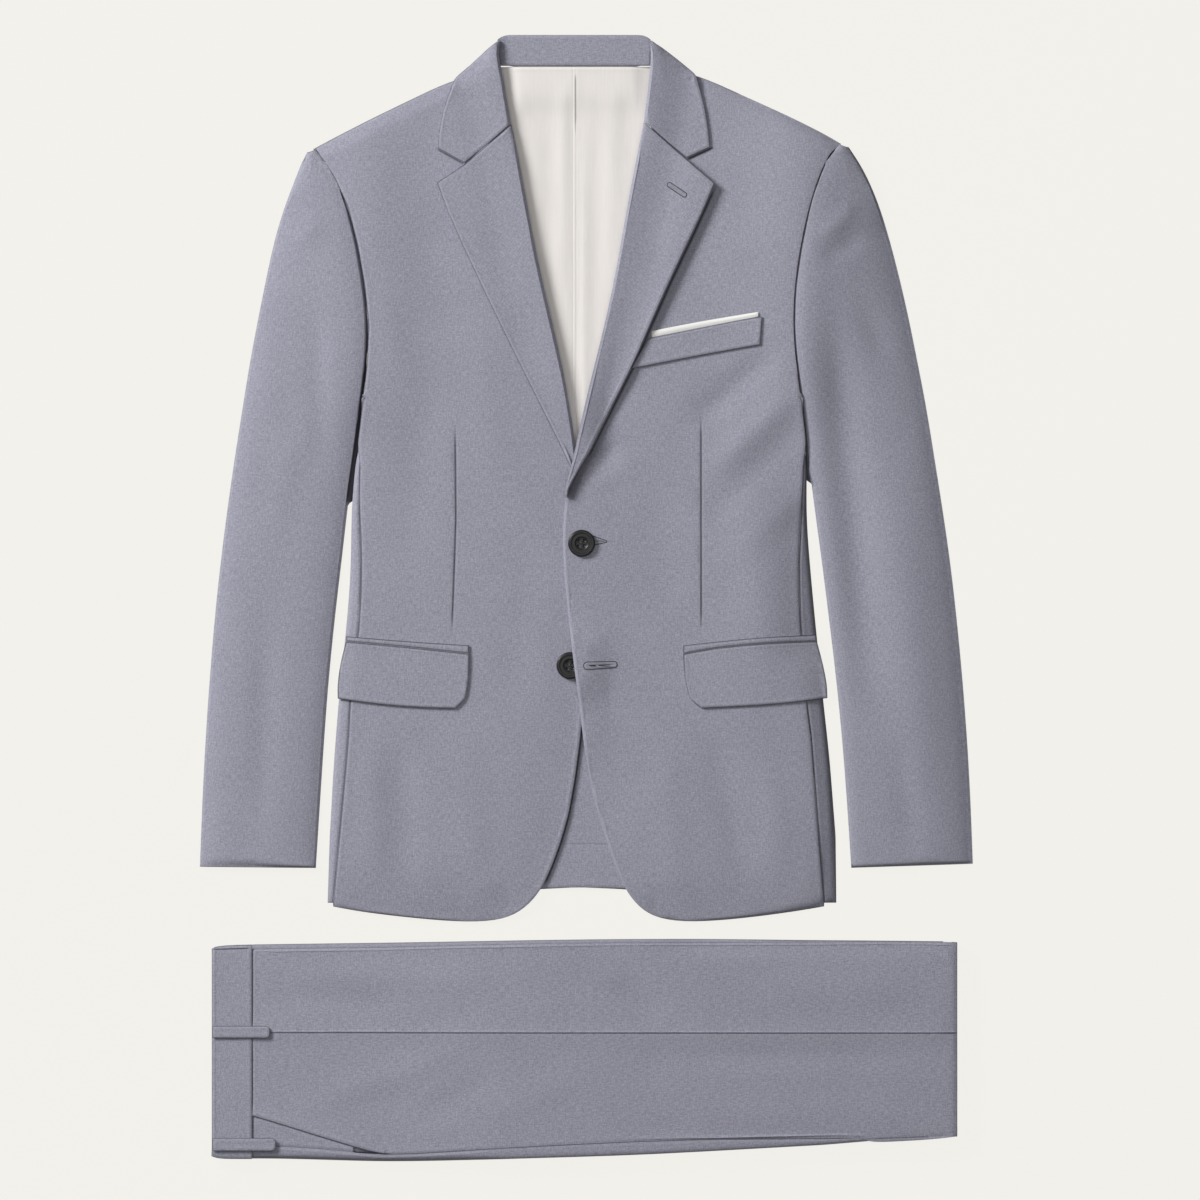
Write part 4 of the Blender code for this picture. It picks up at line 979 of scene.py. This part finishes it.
LAPEL_LIFT = {"right": 1.0, "left": 4.2}
ROLL_LIFT = {"right": 3.2, "left": 5.5}     # how high the roll stands round the neck
ROLL_WIDTH = 38
ROLL_DROP = {"right": 1.6, "left": 0.8}
ROLL_EDGE = 4.0


def raise_roll(side, points):
    """The lapel and collar leaf stand up along their roll, which is round."""
    _, y, z = points.T
    inside = inset("roll", side, points)
    lift = ROLL_LIFT[side] * (1 - ease(inside / ROLL_WIDTH)) * ease((y - 105) / 90)
    drop = ROLL_DROP[side] * (0.3 + 0.7 * ease((y - 100) / 60))
    z += lift - drop * near(inside, ROLL_EDGE) ** 2


def lapel_shape(side, points):
    """The lapel's outer edge stands a little off the front, and its foot runs into the edge."""
    raise_roll(side, points)
    x, y, z = points.T
    opening = ramp((y - 110) / 250)
    outer = ease(((x + 8) * OUTWARD[side] - 14 - 40 * opening) / (12 + 45 * opening))
    z += LAPEL_LIFT[side] * outer * ease((y - 118) / 40)
    if side == "left":
        foot = ease((128 - y) / 25)
        x -= foot * (5 + 0.65 * inset("roll", side, points))
        y -= 16 * foot


def lapped_roll_painted_shade(points):
    """Painted shade on the left lapel's roll, so that its steep edge looks less lit."""
    return 0.34 * near(inset("roll", "left", points), 3.5) * ease((300 - points[:, 1]) / 110)


LINING_PLEAT = -10      # x of the pleat in the middle of the lining


def lining_shape(points):
    """The pleat lies flat, and soft upright waves run in the cloth that hangs loose."""
    x, y, z = points.T
    z -= 0.62 * np.exp(-((x - LINING_PLEAT) / 1.4) ** 2)
    waves = np.sin(x / 6.1 + y / 120 + 0.8) * 0.35 + np.sin(x / 3.3 - y / 75) * 0.14
    from_pleat = ease((np.abs(x - LINING_PLEAT) - 2) / 8)
    z += (waves + 0.35) * from_pleat * (z > 2.6) * ease((450 - y) / 30)


BAND_MIDDLE = -10


def round_band(points):
    """The band behind the neck reaches the leaves, and its top corners are round."""
    x, y, _ = points.T
    off = np.abs(x - BAND_MIDDLE)
    x += np.where(x < BAND_MIDDLE, -4.0, 2.6) * ease((off - 45) / 17)
    y -= 4.5 * ramp((off - 54) / 9) ** 2 * ramp((y - 474) / 10)


def band_painted_shadow(points):
    """The band's right end lies in the collar leaf's shade."""
    return 0.85 * near(points[:, 0] + 76, 13) ** 1.3


def below_roll(points):
    return points[:, 1] < 470


def stand_shape(points):
    """The stand's cloth runs on over the roll up to its top edge."""
    _, y, z = points.T
    y += 3.9 * ease((y - 468) / 11.4)
    z -= 0.9 * ramp((y - 481) / 2.3) ** 2
    round_band(points)


def roll_shape(points):
    """Behind the neck the roll lies just under the stand's cloth."""
    top = (points[:, 2] > 4) * ease((points[:, 1] - 477) / 3)
    points -= np.outer(top, (0, 0.6, 1.0))
    round_band(points)


class SUIT_OT_collar(bpy.types.Operator):
    """Dress the lapels and the collar."""

    bl_idname = "suit.collar"
    bl_label = "Collar and Lapels"

    def execute(self, context):
        for side in SIDES:
            for part, shape in (("lapel", lapel_shape), ("collar", raise_roll)):
                lapped = (part, side) == ("lapel", "left")
                add_cloth(f"{part}_{side}", [f"front_{side}"], longest=5,
                          shape=partial(shape, side), pressed=away_from("roll", side),
                          painted_shade=lapped_roll_painted_shade if lapped else None)
        for node, under, longest, shape in (("collar_stand", "back_lining", 3, stand_shape),
                                            ("collar_back", "back_right", 4, roll_shape)):
            add_cloth(node, [under], longest=longest, shape=shape, pressed=below_roll,
                      painted_shade=band_painted_shadow)
        return {"FINISHED"}


class SUIT_OT_lining(bpy.types.Operator):
    """Dress the back lining."""

    bl_idname = "suit.lining"
    bl_label = "Lining"

    def execute(self, context):
        # a line of painted shade along the pleat, which lies flat
        pleat_painted_shade = Groove(((-9.6, 452), (-9.0, 320), (-9.9, 200), (-9.4, 125)), 0.9, 0, 0.95, 6)
        add_cloth("back_lining", ["back_right", "back_left"], (pleat_painted_shade,), longest=5,
                  finish=lining_cloth, slot="back_lining_cloth", shape=lining_shape)
        return {"FINISHED"}


def welt_shape(points):
    """The welt's near end runs on to the lapel's edge."""
    x, y, _ = points.T
    low = ramp((223.5 + (x - 56) * 0.2 - y) / 23)
    shift = ramp((75 - x) / 19) * (3 + 15 * low)
    x -= shift
    y -= 0.2 * shift


class SUIT_OT_pockets(bpy.types.Operator):
    """Dress the flaps, jets, breast welt and its trim."""

    bl_idname = "suit.pockets"
    bl_label = "Pockets"

    def execute(self, context):
        for side in SIDES:
            for part in ("pocket_jet", "pocket_flap"):
                add_cloth(f"{part}_{side}", [f"front_{side}"], longest=4)
        add_cloth("chest_welt", ["front_left"], longest=4, shape=welt_shape)
        add_cloth("chest_trim", ["front_left"], longest=4, finish=trim_cloth,
                  slot="chest_trim_cloth")
        return {"FINISHED"}


# ---- buttons and sewing

BUTTON_PROFILE = (          # shares of the radius, and height
    (0.0, 0.0), (0.82, 0.0), (0.93, 0.3), (0.985, 0.8), (1.0, 1.4), (0.985, 2.1), (0.94, 2.55),
    (0.87, 2.78), (0.80, 2.72), (0.745, 2.45), (0.70, 2.32), (0.63, 2.28), (0.585, 2.42),
    (0.545, 2.5), (0.50, 2.42), (0.46, 2.05), (0.40, 1.78), (0.0, 1.7))
HOLE_RADIUS = 0.95
HOLE_OFFSET = 2.6 * math.sqrt(0.5)      # from the button's middle, in x and in y
HOLE_DEPTH = 8.0
THREAD_LEVEL = 1.35         # height of the thread over the button's underside
STRANDS = (-0.36, 0.0, 0.36)


def turned_button(place):
    """A bmesh of a button that is turned from its profile, in metres."""
    trims = settings("suit_trims")
    bm = bmesh.new()
    verts = [bm.verts.new((share * trims.button_radius, 0, height * MM))
             for share, height in BUTTON_PROFILE]
    edges = [bm.edges.new(pair) for pair in pairwise(verts)]
    bmesh.ops.spin(bm, geom=verts + edges, cent=(0, 0, 0), axis=(0, 0, 1), angle=math.tau,
                   steps=trims.button_steps, use_merge=True)
    bmesh.ops.remove_doubles(bm, verts=bm.verts[:], dist=CLOSE)
    bmesh.ops.recalc_face_normals(bm, faces=bm.faces[:])
    bmesh.ops.translate(bm, verts=bm.verts[:], vec=place * MM)
    return bm


def add_stitch(bm, start, end, radius):
    """One stitch: a slim rounded grain from start to end, in millimetres."""
    start = Vector(start) * MM
    end = Vector(end) * MM
    run = end - start
    turn = run.to_track_quat("Z", "Y").to_matrix().to_4x4()
    size = Matrix.Diagonal((radius * MM, radius * MM, run.length / 2, 1))
    bmesh.ops.create_uvsphere(bm, u_segments=8, v_segments=6, radius=1,
                              matrix=Matrix.Translation((start + end) / 2) @ turn @ size)


def add_sewing(name, bm, finish, slot="suit_cloth"):
    add_piece(name, mesh_of(bm, name), finish, slot)


class SUIT_OT_buttons(bpy.types.Operator):
    """Turn the two front buttons, with their holes and thread."""

    bl_idname = "suit.buttons"
    bl_label = "Buttons"

    def execute(self, context):
        for node in ("button_top", "button_lower"):
            low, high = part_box(node)
            place = Vector(((low.x + high.x) / 2, (low.y + high.y) / 2, low.z)) / MM
            name = f"{node}_horn"
            piece = add_piece(name, mesh_of(turned_button(place), name), horn(), "dark_horn",
                              node)
            drills = [self.drill(piece, place + Vector((right, up, 0)) * HOLE_OFFSET)
                      for right, up in ((1, 1), (-1, 1), (-1, -1), (1, -1))]
            graph = bpy.context.evaluated_depsgraph_get()
            drilled = bpy.data.meshes.new_from_object(piece.evaluated_get(graph))
            piece.modifiers.clear()
            piece.data = drilled
            for drill in drills:
                bpy.data.objects.remove(drill)
            self.sew_on(node, place)
        return {"FINISHED"}

    def drill(self, piece, place):
        bm = bmesh.new()
        middle = Matrix.Translation((place + Vector((0, 0, 1.5))) * MM)
        bmesh.ops.create_cone(bm, cap_ends=True, segments=20, radius1=HOLE_RADIUS * MM,
                              radius2=HOLE_RADIUS * MM, depth=HOLE_DEPTH * MM, matrix=middle)
        drill = link("drill", mesh_of(bm, "drill"))
        cut = piece.modifiers.new("Hole", "BOOLEAN")
        cut.operation = "DIFFERENCE"
        cut.object = drill
        return drill

    def sew_on(self, node, place):
        """Two parallel bars of thread through the holes."""
        bm = bmesh.new()
        reach = Vector((HOLE_OFFSET + 0.35, 0, 0))
        for row in (-HOLE_OFFSET, HOLE_OFFSET):
            for strand in STRANDS:
                middle = place + Vector((0, row + strand, THREAD_LEVEL))
                add_stitch(bm, middle - reach, middle + reach, 0.62)
        add_sewing(f"{node}_thread", bm, thread("dark_thread", 0.10), "dark_horn")


def surface_height(x, y):
    """Height in millimetres of the cloth at a place, or None where a button covers it."""
    graph = bpy.context.evaluated_depsgraph_get()
    hit, place, _, _, piece, _ = bpy.context.scene.ray_cast(
        graph, (x * MM, y * MM, 1.0), (0, 0, -1))
    if not hit:
        raise RuntimeError(f"no cloth at {x}, {y}")
    return None if piece.name.endswith(("_horn", "_thread")) else place.z / MM


Hole = namedtuple("Hole", "start end first_width last_width slit")
HOLES = {           # both ends of a buttonhole, how wide its stitches are there, and its slit
    "top": Hole(Vector((4.6, 49.2)), Vector((16.6, 48.6)), 8.8, 1.6, 0.5),
    "lower": Hole(Vector((0.8, -58.2)), Vector((23.6, -57.2)), 6.6, 5.6, 0.75),
    "lapel": Hole(Vector((71.4, 354.6)), Vector((84.0, 346.0)), 4.2, 4.2, 0.0),
}
STITCH_STEP = 0.55
STITCH_INSIDE = 0.4         # from the slit to the stitches
STITCH_SHARE = 0.86         # how far out the stitches reach, as a share of the outline


def lay_stitch(bm, start, end, rise, radius):
    """A stitch at a height over the cloth, unless a button covers it."""
    level = surface_height(*((start + end) / 2))
    if level is not None:
        add_stitch(bm, (*start, level + rise), (*end, level + rise), radius)


def hole_outline(hole, scale):
    """Places round a buttonhole at a scale of its width, and which way is out."""
    run = hole.end - hole.start
    ahead = run.normalized()
    side = ahead.orthogonal()
    first = hole.first_width / 2
    last = hole.last_width / 2
    count = round(run.length / STITCH_STEP)
    for index in range(count + 1):
        share = index / count
        for out in (-side, side):
            reach = (first + (last - first) * share) * scale
            yield hole.start + run * share + out * reach, out
    for place, forward, reach in ((hole.start, -1, first), (hole.end, 1, last)):
        turns = max(3, round(math.pi * reach * scale / STITCH_STEP))
        for index in range(1, turns):
            angle = math.pi * index / turns
            out = side * math.cos(angle) + ahead * forward * math.sin(angle)
            yield place + out * reach * scale, out


def from_middle(hole, place):
    """How far a place lies from a buttonhole's middle line."""
    run = hole.end - hole.start
    share = ramp((place - hole.start).dot(run) / run.length_squared)
    return (place - hole.start - run * share).length


class SUIT_OT_buttonholes(bpy.types.Operator):
    """Work the three buttonholes: close stitches inside a sunk dark outline, partly gimp and
    partly painted shade, round a slit of painted shade.
    """

    bl_idname = "suit.buttonholes"
    bl_label = "Buttonholes"

    def execute(self, context):
        for name, hole in HOLES.items():
            sunk = bmesh.new()
            for place, out in hole_outline(hole, 1.0):
                across = out.orthogonal() * STITCH_STEP
                lay_stitch(sunk, place - across, place + across, -0.12, 0.42)
            # the dark outline thread is partly a gimp cord and partly painted shade round the
            # stitches
            add_sewing(f"buttonhole_line_{name}", sunk, thread("gimp_and_shade_thread", 0.16))
            stitches = bmesh.new()
            for place, out in hole_outline(hole, STITCH_SHARE):
                length = from_middle(hole, place) - STITCH_INSIDE
                if length >= 0.3:
                    lay_stitch(stitches, place - out * length, place, 0.02, 0.28)
            add_sewing(f"buttonhole_{name}", stitches, thread("hole_thread", 1.12))
            if hole.slit:
                self.add_slit(name, hole)
        return {"FINISHED"}

    def add_slit(self, name, hole):
        """The painted shade in the opening between the stitches: a slim dark lens lying in the
        cloth.
        """
        bm = bmesh.new()
        run = hole.end - hole.start
        for first, last, radius in ((0.0, 0.92, hole.slit * 0.6), (0.02, 0.32, hole.slit)):
            lay_stitch(bm, hole.start + run * first, hole.start + run * last, -0.05, radius)
        add_sewing(f"buttonhole_slit_{name}", bm, thread("slit", 0.1))


# ---- trousers

TROUSER_LINES = {
    "leg_front": (      # the pressed crease with painted shade just below it, the layer behind the fold, and the side seam's end, both with painted shade along them
        Groove(((319, -372.4), (120, -372.4), (-277, -372.1)), 0.7, -0.5, 0.0, 3),
        Groove(((319, -373.7), (120, -373.7), (-277, -373.4)), 0.6, 0.4, 0.6, 3),
        Groove(((-285, -300.6), (-200, -299.2), (-80, -297.2), (10, -294.8)),
               0.7, 0.5, 0.7, 10, ridge=0.25),
        Groove(((236, -464.4), (262, -463.6), (296, -462.2)), 0.7, 0.5, 0.6, 4),
    ),
    # the waistband's seam, pressed in with painted shade along it
    "waistband": (Groove(((-321, -302.0), (-289, -300.9)), 0.7, 0.5, 0.7, 2, ridge=0.25),),
}
FOLD_FULLNESS = 0.3     # share that is left of a folded edge's fall within the last 7 mm
FOLD_DEPTH = 6.9
LEG_TOP = 14.9          # height of the front panel's face, and of the waistband's
BAND_TOP = 11.7


def square_fold(points, share, top):
    """Make a folded edge fuller, so that its face stays level nearly to the outline."""
    z = points[:, 2]
    middle = top - FOLD_DEPTH
    upper = top - (top - z) * FOLD_FULLNESS
    lower = z * (top - FOLD_DEPTH * FOLD_FULLNESS) / middle
    full = np.where(z > middle, upper, lower)
    z += (np.where(z > top, z, full) - z) * share


def leg_front_shape(points):
    x, y, _ = points.T
    square_fold(points, np.maximum(ease((x - 303) / 8), ease((y + 298.5) / 2.5)), LEG_TOP)
    square_fold(points, ease((-461 - y) / 3) * ease((x + 120) / 60), LEG_TOP)


def leg_back_shape(points):
    """The strip that shows below the side seam runs on until the outline meets the seam."""
    x, y, _ = points.T
    square_fold(points, ease((-464 - y) / 2) * ease((x + 120) / 60), LEG_TOP)
    points[:, :2] += np.outer(ease((x - 200) / 35), (80, 7.5))


def waistband_shape(points):
    y = points[:, 1]
    square_fold(points, np.maximum(ease((-472 - y) / 3), ease((y + 303) / 3)), BAND_TOP)


def loop_shape(points):
    """The belt loop's free end has round corners and stands a little off the cloth."""
    x, y, z = points.T
    off = np.abs(y - (y.min() + y.max()) / 2) / np.ptp(y) * 2
    x -= 2.6 * ramp((off - 0.5) / 0.5) ** 2 * ease((x - x.max() + 5) / 4)
    z += 0.6


TROUSERS = {            # what each piece lies on, and its shape
    "folded_layers": ([], None), "leg_front": (["folded_layers"], leg_front_shape),
    "leg_back": (["folded_layers"], leg_back_shape), "pocket_facing": (["folded_layers"], None),
    "waistband": (["folded_layers"], waistband_shape),
    "belt_loop_front": (["waistband"], loop_shape), "belt_loop_side": (["waistband"], loop_shape),
}
TACK = Vector((-175.6, -477.2))         # the bar tack at the pocket's lower end
TACK_STEP = Vector((0.8, 0.75))
TACK_STITCH = Vector((0.7, -0.7))


class SUIT_OT_trousers(bpy.types.Operator):
    """Dress the folded trousers, and work the bar tack at the pocket."""

    bl_idname = "suit.trousers"
    bl_label = "Trousers"

    def execute(self, context):
        for node, (under, shape) in TROUSERS.items():
            hidden = node == "folded_layers"
            add_cloth(node, under, TROUSER_LINES.get(node, ()), longest=12 if hidden else 6,
                      levels=1 if hidden else 2, shape=shape)
        bm = bmesh.new()
        for step in range(5):
            place = TACK + TACK_STEP * step
            lay_stitch(bm, place - TACK_STITCH, place + TACK_STITCH, 0.05, 0.3)
        add_sewing("bar_tack", bm, thread("seam_thread", 0.8))
        return {"FINISHED"}


# ---- stage

class SUIT_OT_stage(bpy.types.Operator):
    """Lay the surface, light it softly from the upper left and look straight down."""

    bl_idname = "suit.stage"
    bl_label = "Stage"

    PICTURE_CENTRE = (11.6, -1.7)
    FLOOR_REACH = 40
    SHADOW_SHARE = 0.03

    def execute(self, context):
        stage = settings("suit_stage")
        self.add_floor(stage)
        self.add_lamp("key", (-3.4, 2.3, 2.3), 1.6, stage.key_light)
        self.add_lamp("top", (0.0, 0.1, 2.6), 2.5, stage.top_light)
        world = bpy.data.worlds.new("room")
        world.use_nodes = True
        room = world.node_tree.nodes["Background"]
        room.inputs["Color"].default_value = (1.0, 1.0, 1.0, 1.0)
        room.inputs["Strength"].default_value = stage.room_light
        context.scene.world = world
        self.add_camera(stage)
        context.scene.view_settings.view_transform = "Standard"
        return {"FINISHED"}

    def add_floor(self, stage):
        """A pale surface that hardly darkens under the suit and throws no light back on it."""
        bm = bmesh.new()
        bmesh.ops.create_grid(bm, x_segments=1, y_segments=1, size=self.FLOOR_REACH)
        bmesh.ops.translate(bm, verts=bm.verts[:], vec=(0, 0, -0.0002))
        floor = link("floor", mesh_of(bm, "floor"))
        shader = Shader("floor", Roughness=1.0, Specular_IOR_Level=0.0,
                        Emission_Strength=1 - self.SHADOW_SHARE)
        shader.drive("Base Color", rgba(stage.floor, self.SHADOW_SHARE))
        shader.drive("Emission Color", rgba(stage.floor))
        floor.data.materials.append(shader.material)
        floor.visible_diffuse = False

    def add_lamp(self, name, place, size, power):
        """A round soft light that is aimed at the middle of the suit."""
        light = bpy.data.lights.new(name, "AREA")
        light.shape = "DISK"
        light.size = size
        light.energy = power
        lamp = link(name, light)
        lamp.location = place
        lamp.rotation_euler = (-lamp.location).to_track_quat("-Z", "Y").to_euler()

    def add_camera(self, stage):
        data = bpy.data.cameras.new("camera")
        data.sensor_width = 36
        data.lens = data.sensor_width * stage.camera_height / stage.picture_side
        data.clip_end = 20
        camera = link("camera", data)
        x, y = self.PICTURE_CENTRE
        camera.location = (x * MM, y * MM, stage.camera_height)
        bpy.context.scene.camera = camera


class SUIT_PT_panel(bpy.types.Panel):
    """The suit's operators and settings in the sidebar."""

    bl_idname = "SUIT_PT_panel"
    bl_label = "Two-Piece Suit"
    bl_space_type = "VIEW_3D"
    bl_region_type = "UI"
    bl_category = "Suit"

    def draw(self, context):
        for operator in OPERATORS:
            self.layout.operator(operator.bl_idname)
        for group in GROUPS:
            values = getattr(context.scene, group)
            for name in values.bl_rna.properties.keys():
                if name not in ("rna_type", "name"):
                    self.layout.prop(values, name)


GROUPS = {"suit_cloth": SuitCloth, "suit_trims": SuitTrims, "suit_stage": SuitStage}
OPERATORS = (SUIT_OT_stage, SUIT_OT_body, SUIT_OT_sleeves, SUIT_OT_lining, SUIT_OT_collar,
             SUIT_OT_pockets, SUIT_OT_buttons, SUIT_OT_buttonholes, SUIT_OT_trousers)


def register():
    for made in (*GROUPS.values(), *OPERATORS, SUIT_PT_panel):
        bpy.utils.register_class(made)
    for name, group in GROUPS.items():
        setattr(bpy.types.Scene, name, PointerProperty(type=group))


def unregister():
    for name in GROUPS:
        delattr(bpy.types.Scene, name)
    for made in (SUIT_PT_panel, *reversed(OPERATORS), *GROUPS.values()):
        bpy.utils.unregister_class(made)


def main():
    register()
    for operator in OPERATORS:
        group, name = operator.bl_idname.split(".")
        getattr(getattr(bpy.ops, group), name)()


if __name__ == "__main__":
    main()
